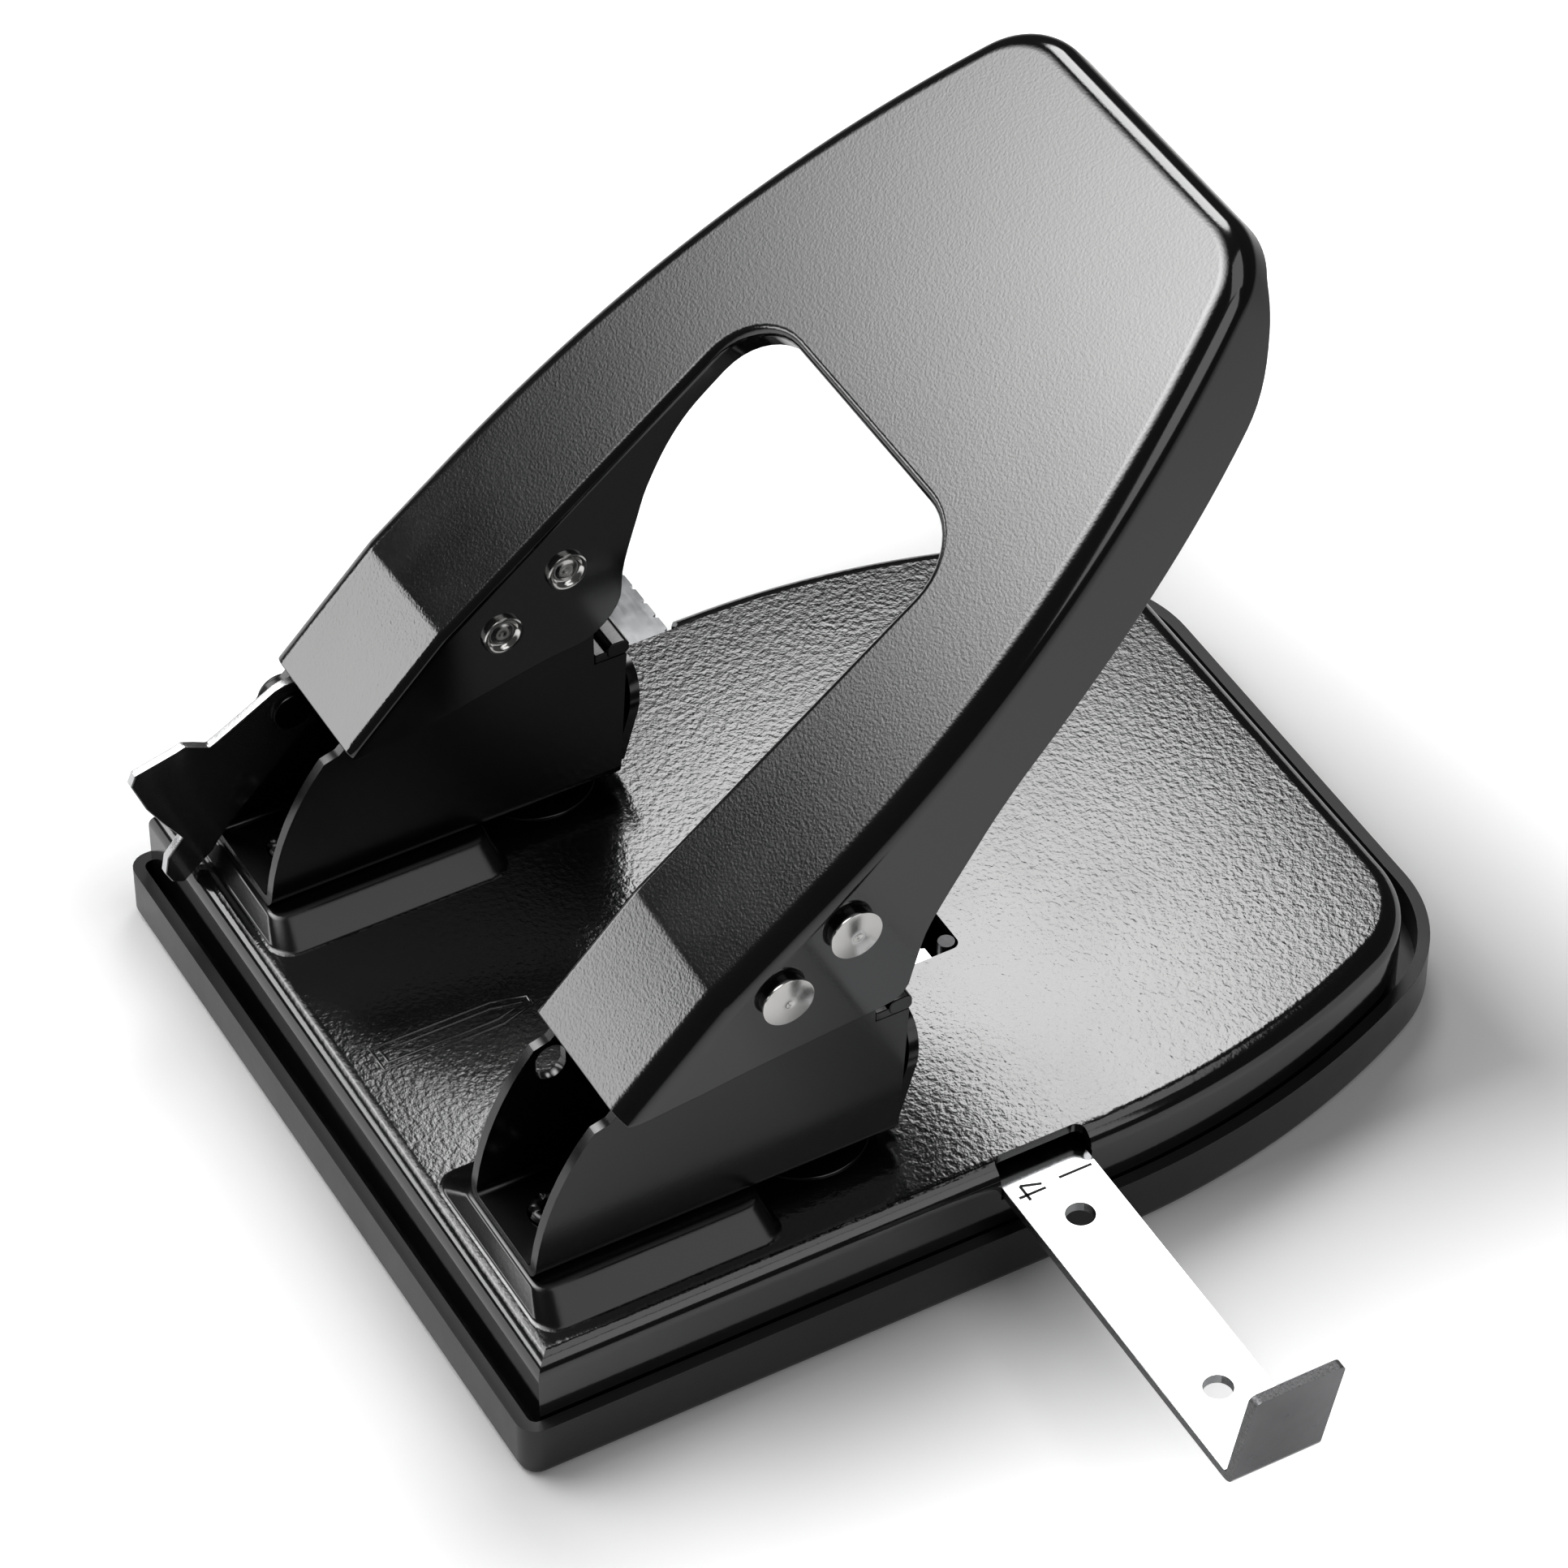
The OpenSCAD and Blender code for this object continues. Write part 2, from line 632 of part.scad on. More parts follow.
module spring_cap(side) {
    color("#7d8084") translate([side * pin_x, pin_y, cap_z]) difference() {
        cylinder(d = cap_d, h = cap_h);
        translate([0, 0, -over]) cylinder(d = pin_d + 2 * seat, h = cap_socket + over);
    }
}

// Return spring: one round wire wound as a helix, built as a tube of rings
spring_sides = 6;
spring_rings = 8;
spring_count = round(spring_turns * spring_rings);
function spring_centre(i) = let (a = 360 * i / spring_rings)
    [spring_d / 2 * cos(a), spring_d / 2 * sin(a),
        spring_z0 + (spring_z1 - spring_z0) * i / spring_count];
function spring_ring(i) = let (a = 360 * i / spring_rings, c = spring_centre(i))
    [for (k = [0 : spring_sides - 1]) let (b = 360 * k / spring_sides, out = spring_wire / 2 * cos(b))
        [c[0] + out * cos(a), c[1] + out * sin(a), c[2] + spring_wire / 2 * sin(b)]];
spring_points = [for (i = [0 : spring_count]) each spring_ring(i)];
function spring_point(ring, k) = ring * spring_sides + (k % spring_sides);
spring_faces = concat(
    [[for (k = [0 : spring_sides - 1]) k]],
    [for (i = [0 : spring_count - 1], k = [0 : spring_sides - 1], half = [0, 1]) half == 0
        ? [spring_point(i, k), spring_point(i + 1, k), spring_point(i + 1, k + 1)]
        : [spring_point(i, k), spring_point(i + 1, k + 1), spring_point(i, k + 1)]],
    [[for (k = [spring_sides - 1 : -1 : 0]) spring_point(spring_count, k)]]);
// Least distance between the wire's centre line and the turn above it, less the wire itself
spring_gap = min([for (i = [0 : spring_count], j = [i + spring_rings / 2 : 1 : spring_count])
    norm(spring_centre(i) - spring_centre(j))]) - spring_wire;
echo(spring_gap = spring_gap);

module return_spring(side) {
    color("#c3c5c8") translate([side * pin_x, pin_y, 0]) polyhedron(spring_points, spring_faces);
}

module pivot_rivet(side) {
    color("#d0d2d4") arm_rivet(side, pivot_y, pivot_z);
}

module drive_rivet(side) {
    color("#d0d2d4") arm_rivet(side, drive_y, drive_z);
}

// Solid blank of the handle, with a rounded upper edge
module handle_blank(inset) {
    r = handle_bend_r - inset;
    top = plate_rise - handle_bend_r;
    low = plate_rise - skirt_depth - lobe_depth - over;
    hull() {
        translate([0, 0, low]) linear_extrude(top - low) polygon(handle_plan(inset));
        for (i = [0 : bend_steps])
            let (a = 90 * i / bend_steps)
            translate([0, 0, top + r * sin(a) - film])
                linear_extrude(film) polygon(handle_plan(inset + r * (1 - cos(a))));
    }
}

// The opening between the arms, grown by some margin
module opening(grown) {
    half = arm_inner + grown;
    r = opening_r + grown;
    end = opening_reach + grown;
    polygon(concat([[half, -handle_front - 3 * over]], arc([half - r, end - r], r, 0, 90),
        arc([-half + r, end - r], r, 90, 180), [[-half, -handle_front - 3 * over]]));
}

// The bent edge round the opening in two flats: shares of its radius up and out, at each end
mouth_steps = [[[0, 0], [0.7, 0.29]], [[0.7, 0.29], [1, 0.8]]];

// The opening as a block with a wider mouth on top, which leaves the bent edge round it
module opening_block(grown) {
    low = plate_rise - skirt_depth - lobe_depth - 2 * over;
    r = handle_bend_r - grown;
    mouth = plate_rise - handle_bend_r;
    translate([0, 0, low]) linear_extrude(plate_rise + over - low) opening(grown);
    for (step = mouth_steps) hull() {
        translate([0, 0, mouth + r * step[0][0]]) linear_extrude(film) opening(grown + r * step[0][1]);
        translate([0, 0, mouth + r * step[1][0]]) linear_extrude(film) opening(grown + r * step[1][1]);
    }
}

// Side view of the handle's top, an inset below its outer face and run past its front end
function top_line(inset, past) = [[handle_reach + 2 * over, plate_rise - inset],
    [-flap_start, plate_rise - inset],
    [-handle_front - past, plate_rise - inset - flap_drop - past * tan(flap_angle)]];

module handle() {
    wide = arm_outer + over;
    skirt_z = plate_rise - skirt_depth;
    lip_z = plate_rise - lip_depth;
    deep_z = skirt_z - lobe_depth - 2 * over;
    bore = rivet_d + 2 * run;
    outer_edge = concat([for (p = skirt_shares) [p[0] * handle_front, skirt_z - p[1] * lobe_depth]],
        [[handle_reach - handle_corner_r - 2 * handle_bend_r, skirt_z],
            [handle_reach - handle_bend_r, plate_rise - rear_skirt_depth],
            [handle_reach + 2 * over, plate_rise - rear_skirt_depth]]);
    inner_edge = concat([for (p = inner_skirt_shares) [p[0] * handle_front, lip_z - p[1] * inner_lobe_depth]],
        [[opening_reach + 2 * handle_sheet + opening_r / 4, lip_z]]);
    color("#232425") translate([0, pivot_y, pivot_z]) rotate([handle_slope, 0, 0]) difference() {
        intersection() {
            handle_blank(0);
            along_x(-wide, wide) polygon(concat(top_line(0, 0), outer_edge));
        }
        difference() {
            intersection() {
                handle_blank(handle_sheet);
                along_x(-wide, wide) polygon(concat(top_line(handle_sheet, 2 * over),
                    [[-handle_front - 3 * over, deep_z], [handle_reach + 2 * over, deep_z]]));
            }
            opening_block(handle_sheet);
        }
        opening_block(0);
        along_x(-arm_inner - 2 * handle_sheet, arm_inner + 2 * handle_sheet)
            polygon(concat(inner_edge, [[opening_reach + 2 * handle_sheet + opening_r / 4, deep_z],
                [-handle_front - 2 * over, deep_z]]));
        rod_x(-wide, wide, 0, 0, bore);
        rotate([drive_angle - handle_slope, 0, 0]) rod_x(-wide, wide, drive_arm, 0, bore);
    }
}

module lock_lever() {
    low_tangent = -70;
    high_tangent = 118;
    color("#222324") translate([0, lever_y, lever_z]) difference() {
        along_x(lever_x, lever_x + lever_t)
            polygon(concat([for (p = lever_shares) [p[0] * lever_reach, p[1] * lever_drop]],
                arc([0, 0], lever_eye_r, low_tangent, high_tangent, 2 * bend_steps)));
        rod_x(lever_x - over, lever_x + lever_t + over, 0, 0, lock_rivet_d + 2 * run);
    }
}

// Rivet that carries the lock lever in the left bracket's outer cheek
module lock_rivet() {
    cheek_x = -pin_x - bracket_w / 2;
    inner_x = lever_x + lever_t + near;
    color("#6d7074") translate([0, lever_y, lever_z]) {
        rod_x(cheek_x, inner_x, 0, 0, lock_rivet_d - 2 * seat);
        translate([cheek_x, 0, 0]) rotate([0, -90, 0]) rivet_head(lock_head_d, lock_head_h);
        translate([inner_x, 0, 0]) rotate([0, 90, 0]) cylinder(d = tail_d, h = tail_h / 2);
    }
}

module paper_guide() {
    rise = tab_h - guide_t;
    lean = rise * tan(tab_angle);
    far_hole = guide_out - guide_hole_margin;
    notches_left = floor((peg_x - guide_x0 - notch_pitch / 2) / notch_pitch);
    color("#c9cccf") difference() {
        union() {
            block([guide_x0, guide_y0, guide_z0], [guide_out, guide_y1, guide_z1]);
            along_y(guide_y0, guide_y1)
                polygon([[guide_out - guide_t, guide_z0], [guide_out, guide_z0], [guide_out, guide_z1],
                    [guide_out + lean, guide_z1 + rise],
                    [guide_out + lean - guide_t, guide_z1 + rise], [guide_out - guide_t, guide_z1]]);
        }
        for (x = [far_hole, far_hole - guide_hole_spacing])
            translate([x, guide_y, guide_z0 - over]) cylinder(d = guide_hole_d, h = guide_t + 2 * over);
        for (i = [-notches_left : notches_right])
            translate([peg_x + i * notch_pitch, guide_y1, guide_z0 - over])
                linear_extrude(guide_t + 2 * over)
                    polygon([[-notch_depth, over], [0, -notch_depth], [notch_depth, over]]);
    }
}

// Sprung finger under the deck, whose peg stands behind the guide in the window
module guide_detent() {
    peg_y = guide_y1 + gap + peg_d / 2;
    color("#2c2d2f") {
        translate([peg_x, peg_y, guide_z0]) cylinder(d = peg_d, h = deck_z - guide_z0);
        block([peg_x, peg_y - detent_t / 2, guide_z0],
            [peg_x + detent_l, peg_y + detent_t / 2, deck_under_z]);
        block([peg_x + detent_l - detent_foot, peg_y - detent_t / 2, deck_under_z - detent_t],
            [peg_x + detent_l, peg_y + detent_foot, deck_under_z]);
    }
}

// Two straps under the deck that carry the guide
module guide_rails() {
    y0 = guide_y0 - gap;
    y1 = guide_y1 + gap;
    z0 = guide_z0 - near;
    color("#3c3d3f") for (side = SIDES)
        along_x(side * rail_x - rail_w / 2, side * rail_x + rail_w / 2)
            polygon([[y0 - rail_foot, deck_under_z], [y0, deck_under_z], [y0, z0], [y1, z0],
                [y1, deck_under_z], [y1 + rail_foot, deck_under_z], [y1 + rail_foot, deck_under_z - rail_t],
                [y1 + rail_t, deck_under_z - rail_t], [y1 + rail_t, z0 - rail_t], [y0 - rail_t, z0 - rail_t],
                [y0 - rail_t, deck_under_z - rail_t], [y0 - rail_foot, deck_under_z - rail_t]]);
}

base_plate();
chip_tray();
die(-1);  // die_left
die(1);  // die_right
bracket(-1);  // bracket_left
bracket(1);  // bracket_right
bracket_rivets();
pin_guide(-1);  // pin_guide_left
pin_guide(1);  // pin_guide_right
punch_pin(-1);  // punch_pin_left
punch_pin(1);  // punch_pin_right
spring_cap(-1);  // spring_cap_left
spring_cap(1);  // spring_cap_right
return_spring(-1);  // return_spring_left
return_spring(1);  // return_spring_right
pivot_rivet(-1);  // pivot_rivet_left
pivot_rivet(1);  // pivot_rivet_right
drive_rivet(-1);  // drive_rivet_left
drive_rivet(1);  // drive_rivet_right
handle();
lock_lever();
lock_rivet();
paper_guide();
guide_detent();
guide_rails();
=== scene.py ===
import bpy, bmesh, math
from mathutils import Vector, Matrix


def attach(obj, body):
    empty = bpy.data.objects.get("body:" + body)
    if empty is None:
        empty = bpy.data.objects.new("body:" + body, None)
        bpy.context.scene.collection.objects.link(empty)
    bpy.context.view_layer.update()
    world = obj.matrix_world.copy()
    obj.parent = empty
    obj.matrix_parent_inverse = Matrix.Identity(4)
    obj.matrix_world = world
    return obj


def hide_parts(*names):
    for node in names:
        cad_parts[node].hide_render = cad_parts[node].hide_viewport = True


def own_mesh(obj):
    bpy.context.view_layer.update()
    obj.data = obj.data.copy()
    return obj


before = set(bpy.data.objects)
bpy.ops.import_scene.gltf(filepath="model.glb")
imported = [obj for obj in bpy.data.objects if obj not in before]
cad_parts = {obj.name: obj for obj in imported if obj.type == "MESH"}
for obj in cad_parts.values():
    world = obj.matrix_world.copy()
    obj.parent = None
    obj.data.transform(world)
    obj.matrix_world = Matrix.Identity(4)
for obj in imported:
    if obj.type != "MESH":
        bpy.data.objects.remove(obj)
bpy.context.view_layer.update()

mm = 0.001
scene = bpy.context.scene
print("frame loaded:", len(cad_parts), "nodes")


# ---- working with pieces

def leaveEdit():
    bpy.ops.object.mode_set(mode="OBJECT")


def selectAll():                         # in edit mode
    bpy.ops.mesh.select_all(action="SELECT")


def deselectAll():
    if bpy.context.object and bpy.context.object.mode != "OBJECT":
        leaveEdit()
    bpy.ops.object.select_all(action="DESELECT")


def applyPlace():
    bpy.ops.object.transform_apply(location=True, rotation=True, scale=True)


def extrudeBy(x, y, z):                  # in mm
    bpy.ops.mesh.extrude_region_move(TRANSFORM_OT_translate={"value": (x * mm, y * mm, z * mm)})


def smoothBy(piece, degrees):            # shades smoothly over edges up to this angle
    workOn(piece)
    bpy.ops.object.shade_smooth_by_angle(angle=math.radians(degrees))


def addCylinder(radius, depth, place, vertices=64):      # an upright cylinder, in mm
    deselectAll()
    bpy.ops.mesh.primitive_cylinder_add(vertices=vertices, radius=radius * mm, depth=depth * mm,
                                        location=[c * mm for c in place])
    applyPlace()
    return bpy.context.object


def workOn(piece):                       # makes one piece the selected and active one
    deselectAll()
    piece.select_set(True)
    bpy.context.view_layer.objects.active = piece


def editPiece(piece, mode="VERT"):       # opens a piece in edit mode with nothing selected
    workOn(piece)
    bpy.ops.object.mode_set(mode="EDIT")
    bpy.ops.mesh.select_mode(type=mode)
    bpy.ops.mesh.select_all(action="DESELECT")


def pick(piece, kind, test):             # selects the verts, edges or faces that pass a test
    bpy.ops.mesh.select_mode(type={"verts": "VERT", "edges": "EDGE", "faces": "FACE"}[kind])
    bpy.ops.mesh.select_all(action="DESELECT")
    mesh = bmesh.from_edit_mesh(piece.data)
    for item in [item for item in getattr(mesh, kind) if test(item)]:
        item.select_set(True)
    mesh.select_flush_mode()
    bmesh.update_edit_mesh(piece.data)


def drawLine(name, points, fill=False):  # joins points (in mm) by extruding one vertex from each to the next
    deselectAll()
    bpy.ops.mesh.primitive_plane_add(size=mm, location=(0, 0, 0))
    piece = bpy.context.object
    piece.name = piece.data.name = name
    bpy.ops.object.mode_set(mode="EDIT")
    bpy.ops.mesh.select_mode(type="VERT")
    selectAll()
    bpy.ops.mesh.merge(type="CENTER")
    places = [Vector(p) * mm for p in points]
    bpy.ops.transform.translate(value=places[0])
    for last, place in zip(places, places[1:]):
        bpy.ops.mesh.extrude_region_move(TRANSFORM_OT_translate={"value": place - last})
    if fill:
        selectAll()
        bpy.ops.mesh.edge_face_add()
    leaveEdit()
    return piece


def drawBox(name, low, high):            # a box between two corners in mm
    deselectAll()
    low, high = Vector(low) * mm, Vector(high) * mm
    bpy.ops.mesh.primitive_cube_add(size=1, location=(low + high) / 2, scale=high - low)
    piece = bpy.context.object
    piece.name = name
    applyPlace()
    return piece


def arcPoints(x, y, radius, start, end, steps):
    angles = [math.radians(start + (end - start) * i / steps) for i in range(steps + 1)]
    return [(x + radius * math.cos(a), y + radius * math.sin(a)) for a in angles]


def halfPlan(halfWidth, y0, y1, turn, longRadius, cornerRadius, longSteps, cornerSteps):
    reach, rise = longRadius - cornerRadius, y1 - cornerRadius - turn
    blend = math.degrees(math.asin(rise / reach))
    cornerX = halfWidth - longRadius + math.sqrt(reach * reach - rise * rise)
    side = arcPoints(halfWidth - longRadius, turn, longRadius, 0, blend, longSteps)
    corner = arcPoints(cornerX, y1 - cornerRadius, cornerRadius, blend, 90, cornerSteps)
    return [(halfWidth, y0)] + side + corner[1:]


def bothHalves(half):
    return half + [(-x, y) for x, y in reversed(half)]


def smoothCurve(table, at):              # a soft line through the points of a table
    if at <= table[0][0]:
        return table[0][1]
    if at >= table[-1][0]:
        return table[-1][1]
    i = max(k for k in range(len(table) - 1) if table[k][0] <= at)

    def slope(k):
        a, b = max(k - 1, 0), min(k + 1, len(table) - 1)
        return (table[b][1] - table[a][1]) / (table[b][0] - table[a][0])
    (x0, y0), (x1, y1) = table[i], table[i + 1]
    w, t = x1 - x0, (at - x0) / (x1 - x0)
    a, b = slope(i) * w, slope(i + 1) * w
    return y0 + t * (a + t * (3 * (y1 - y0) - 2 * a - b + t * (a + b - 2 * (y1 - y0))))


def outward(piece):                      # merges doubles and turns all faces outwards
    editPiece(piece)
    selectAll()
    bpy.ops.mesh.remove_doubles(threshold=0.002 * mm)
    bpy.ops.mesh.normals_make_consistent(inside=False)
    mesh = bmesh.from_edit_mesh(piece.data)
    if all(edge.is_manifold for edge in mesh.edges) and mesh.calc_volume(signed=True) < 0:
        bpy.ops.mesh.flip_normals()
    leaveEdit()


def addThickness(piece, thickness):      # gives a sheet its thickness, inwards
    workOn(piece)
    wall = piece.modifiers.new("wall", "SOLIDIFY")
    wall.thickness = thickness * mm
    wall.offset = -1
    wall.use_even_offset = True
    bpy.ops.object.modifier_apply(modifier=wall.name)


def cutAway(piece, cutter):
    workOn(piece)
    cut = piece.modifiers.new("cut", "BOOLEAN")
    cut.operation, cut.solver, cut.object = "DIFFERENCE", "EXACT", cutter
    bpy.ops.object.modifier_apply(modifier=cut.name)
    bpy.data.objects.remove(cutter)


def softenEdges(piece, width, angle=40, steps=2, smooth=35):
    workOn(piece)
    edge = piece.modifiers.new("edge", "BEVEL")
    edge.width, edge.segments = width * mm, steps
    edge.limit_method, edge.angle_limit = "ANGLE", math.radians(angle)
    edge.use_clamp_overlap = True
    bpy.ops.object.modifier_apply(modifier=edge.name)
    bpy.ops.object.shade_smooth_by_angle(angle=math.radians(smooth))
    flat = piece.modifiers.new("flat", "WEIGHTED_NORMAL")
    flat.keep_sharp = True
    bpy.ops.object.modifier_apply(modifier=flat.name)


def joinAll(pieces, name):
    deselectAll()
    for piece in pieces:
        piece.select_set(True)
    bpy.context.view_layer.objects.active = pieces[0]
    bpy.ops.object.join()
    pieces[0].name = name
    return pieces[0]


def copyNode(node, name):                # a merged copy of a CAD node, ready to be finished
    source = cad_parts[node]
    piece = bpy.data.objects.new(name, source.data.copy())
    scene.collection.objects.link(piece)
    editPiece(piece)
    selectAll()
    bpy.ops.mesh.customdata_custom_splitnormals_clear()
    bpy.ops.mesh.remove_doubles(threshold=0.001 * mm)
    bpy.ops.mesh.dissolve_limited(angle_limit=math.radians(0.6))
    leaveEdit()
    piece.data.materials.clear()
    return piece


def paintFaces(piece, index, test):      # gives the faces that pass a test another material slot
    for face in piece.data.polygons:
        if test(face):
            face.material_index = index


def dress(piece, body, slotName, materials, *nodes):
    for material in materials:
        piece.data.materials.append(material)
    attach(piece, body)
    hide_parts(*nodes)
    print("piece ready:", piece.name, len(piece.data.polygons), "faces")


# ---- materials

def startMaterial(name):
    material = bpy.data.materials.new(name)
    material.use_nodes = True
    nodes, links = material.node_tree.nodes, material.node_tree.links
    return material, nodes, links, nodes["Principled BSDF"]


def addNode(nodes, kind, **inputs):
    node = nodes.new(kind)
    for key, value in inputs.items():
        node.inputs[key.replace("_", " ")].default_value = value
    return node


def addNoise(nodes, links, where, size, detail, roughness):      # cloudy noise with features of size mm
    noise = addNode(nodes, "ShaderNodeTexNoise", Scale=1 / (size * mm), Detail=detail, Roughness=roughness)
    links.new(where, noise.inputs["Vector"])
    return noise.outputs[0]


def mathNode(nodes, links, what, first, second, clamp=False):
    node = nodes.new("ShaderNodeMath")
    node.operation, node.use_clamp = what, clamp
    for socket, value in zip(node.inputs, (first, second)):
        if isinstance(value, (int, float)):
            socket.default_value = value
        else:
            links.new(value, socket)
    return node.outputs[0]


def rangeNode(nodes, links, value, fromLow, fromHigh, toLow, toHigh):
    node = nodes.new("ShaderNodeMapRange")
    links.new(value, node.inputs["Value"])
    for key, number in zip(("From Min", "From Max", "To Min", "To Max"), (fromLow, fromHigh, toLow, toHigh)):
        node.inputs[key].default_value = number
    return node.outputs["Result"]


def colourRange(nodes, links, value, dark, light):
    node = nodes.new("ShaderNodeMix")
    node.data_type = "RGBA"
    links.new(value, node.inputs[0])
    node.inputs[6].default_value = (*dark, 1)
    node.inputs[7].default_value = (*light, 1)
    return node.outputs[2]


paintLook = {
    "dark": (0.0022, 0.0022, 0.0023), "light": (0.0048, 0.0048, 0.0049),
    "grainSize": 0.6, "fineSize": 0.25, "cloudSize": 24, "grainDepth": 0.03, "smoothShare": 0.10,
    "flatRoughness": 0.13, "bendRoughness": 0.10, "gloss": 1.9, "coarseShare": 0.78,
    "fade": (0.7, 0.08),                 # how far below the flat face the grain begins and is full
}


def wrinklePaint(name, look, turn=0.0, centre=(0, 0, 0), flatHeight=None, crease=None):
    # black paint whose grain lies on the flat face at flatHeight and fades out on the bends round it
    look = {**paintLook, **look}
    material, nodes, links, shader = startMaterial(name)
    place = nodes.new("ShaderNodeTexCoord")
    mapping = nodes.new("ShaderNodeMapping")
    back = Matrix.Rotation(-math.radians(turn), 3, "X")
    mapping.inputs["Rotation"].default_value = (-math.radians(turn), 0, 0)
    mapping.inputs["Location"].default_value = -(back @ (Vector(centre) * mm))
    links.new(place.outputs["Object"], mapping.inputs["Vector"])
    coarse = addNoise(nodes, links, mapping.outputs[0], look["grainSize"], 2.0, 0.45)
    fine = addNoise(nodes, links, mapping.outputs[0], look["fineSize"], 1.0, 0.5)
    cloud = addNoise(nodes, links, mapping.outputs[0], look["cloudSize"], 3.0, 0.6)
    grain = mathNode(nodes, links, "ADD", mathNode(nodes, links, "MULTIPLY", coarse, look["coarseShare"]),
                     mathNode(nodes, links, "MULTIPLY", fine, 1 - look["coarseShare"]))
    if flatHeight is None:
        flat = mathNode(nodes, links, "ADD", 0.0, 0.0)
    else:
        split = nodes.new("ShaderNodeSeparateXYZ")
        links.new(mapping.outputs[0], split.inputs[0])
        height = split.outputs["Z"]
        if crease:
            past = mathNode(nodes, links, "MAXIMUM", mathNode(nodes, links, "SUBTRACT", -crease[0] * mm,
                                                               split.outputs["Y"]), 0.0)
            height = mathNode(nodes, links, "ADD", height,
                              mathNode(nodes, links, "MULTIPLY", past, math.tan(math.radians(crease[1]))))
        low, high = [(flatHeight - depth) * mm for depth in look["fade"]]
        flat = rangeNode(nodes, links, height, low, high, 0.0, 1.0)
    share = rangeNode(nodes, links, flat, 0.0, 1.0, look["smoothShare"], 1.0)
    bump = addNode(nodes, "ShaderNodeBump", Strength=1.0, Distance=look["grainDepth"] * mm)
    links.new(mathNode(nodes, links, "MULTIPLY", grain, share), bump.inputs["Height"])
    links.new(bump.outputs[0], shader.inputs["Normal"])
    shader.inputs["IOR"].default_value = look["gloss"]
    rough = rangeNode(nodes, links, flat, 0.0, 1.0, look["bendRoughness"], look["flatRoughness"])
    vary = rangeNode(nodes, links, cloud, 0.3, 0.7, -0.03, 0.03)
    links.new(mathNode(nodes, links, "ADD", rough, vary), shader.inputs["Roughness"])
    links.new(colourRange(nodes, links, cloud, look["dark"], look["light"]), shader.inputs["Base Color"])
    return material


plasticLook = {"dark": (0.006, 0.006, 0.006), "light": (0.010, 0.010, 0.010), "roughness": 0.38,
               "spread": 0.05, "grainSize": 0.35, "cloudSize": 18, "grainDepth": 0.02}


def mouldedPlastic(name, look):
    material, nodes, links, shader = startMaterial(name)
    place = nodes.new("ShaderNodeTexCoord")
    grain = addNoise(nodes, links, place.outputs["Object"], look["grainSize"], 3.0, 0.6)
    cloud = addNoise(nodes, links, place.outputs["Object"], look["cloudSize"], 4.0, 0.6)
    bump = addNode(nodes, "ShaderNodeBump", Strength=0.8, Distance=look["grainDepth"] * mm)
    links.new(grain, bump.inputs["Height"])
    links.new(bump.outputs[0], shader.inputs["Normal"])
    low, high = look["roughness"] - look["spread"], look["roughness"] + look["spread"]
    links.new(rangeNode(nodes, links, cloud, 0.3, 0.7, low, high), shader.inputs["Roughness"])
    links.new(colourRange(nodes, links, cloud, look["dark"], look["light"]), shader.inputs["Base Color"])
    return material


def metal(name, dark, light, roughness, spread=0.06, lines=(1, 1, 1), lineSize=0.6, depth=0.004, metallic=1.0,
          cloudSize=5):
    # plated or bare metal: rolling or grinding lines, small changes of shine and cloudy colour
    material, nodes, links, shader = startMaterial(name)
    place = nodes.new("ShaderNodeTexCoord")
    stretch = nodes.new("ShaderNodeMapping")
    stretch.inputs["Scale"].default_value = lines
    links.new(place.outputs["Object"], stretch.inputs["Vector"])
    streak = addNoise(nodes, links, stretch.outputs[0], lineSize, 3.0, 0.6)
    cloud = addNoise(nodes, links, place.outputs["Object"], cloudSize, 4.0, 0.6)
    bump = addNode(nodes, "ShaderNodeBump", Strength=0.7, Distance=depth * mm)
    links.new(streak, bump.inputs["Height"])
    links.new(bump.outputs[0], shader.inputs["Normal"])
    mixed = mathNode(nodes, links, "ADD", mathNode(nodes, links, "MULTIPLY", streak, 0.4),
                     mathNode(nodes, links, "MULTIPLY", cloud, 0.6))
    links.new(rangeNode(nodes, links, mixed, 0.3, 0.7, roughness - spread, roughness + spread),
              shader.inputs["Roughness"])
    links.new(colourRange(nodes, links, cloud, dark, light), shader.inputs["Base Color"])
    shader.inputs["Metallic"].default_value = metallic
    return material


handleFrame = {"turn": 38.24, "centre": (0, -35.3, 61.6)}
handlePaint = wrinklePaint("handle paint", {"grainSize": 0.42, "fineSize": 0.2, "grainDepth": 0.024},
                           flatHeight=8.1, crease=(5.2, 7.3), **handleFrame)
deckPaint = wrinklePaint("deck paint", {"grainSize": 0.85, "fineSize": 0.35, "grainDepth": 0.058},
                         flatHeight=19.3)
smoothPaint = wrinklePaint("smooth paint", {"smoothShare": 0.16, "bendRoughness": 0.18, "gloss": 1.65})
latchPaint = wrinklePaint("latch paint", {"dark": (0.014, 0.014, 0.014), "light": (0.021, 0.021, 0.021),
                                           "smoothShare": 0.08, "bendRoughness": 0.14})
trayPlastic = mouldedPlastic("tray plastic", plasticLook)
brightPlate = metal("bright plate", (0.50, 0.51, 0.52), (0.58, 0.59, 0.60), 0.15, 0.04,
                    (0.04, 1, 1), 0.5, 0.002)
shearedPlate = metal("sheared plate edge", (0.0, 0.0, 0.0), (0.42, 0.42, 0.43), 0.32, 0.10,
                     (1, 1, 0.3), 0.16, 0.10, cloudSize=0.35)
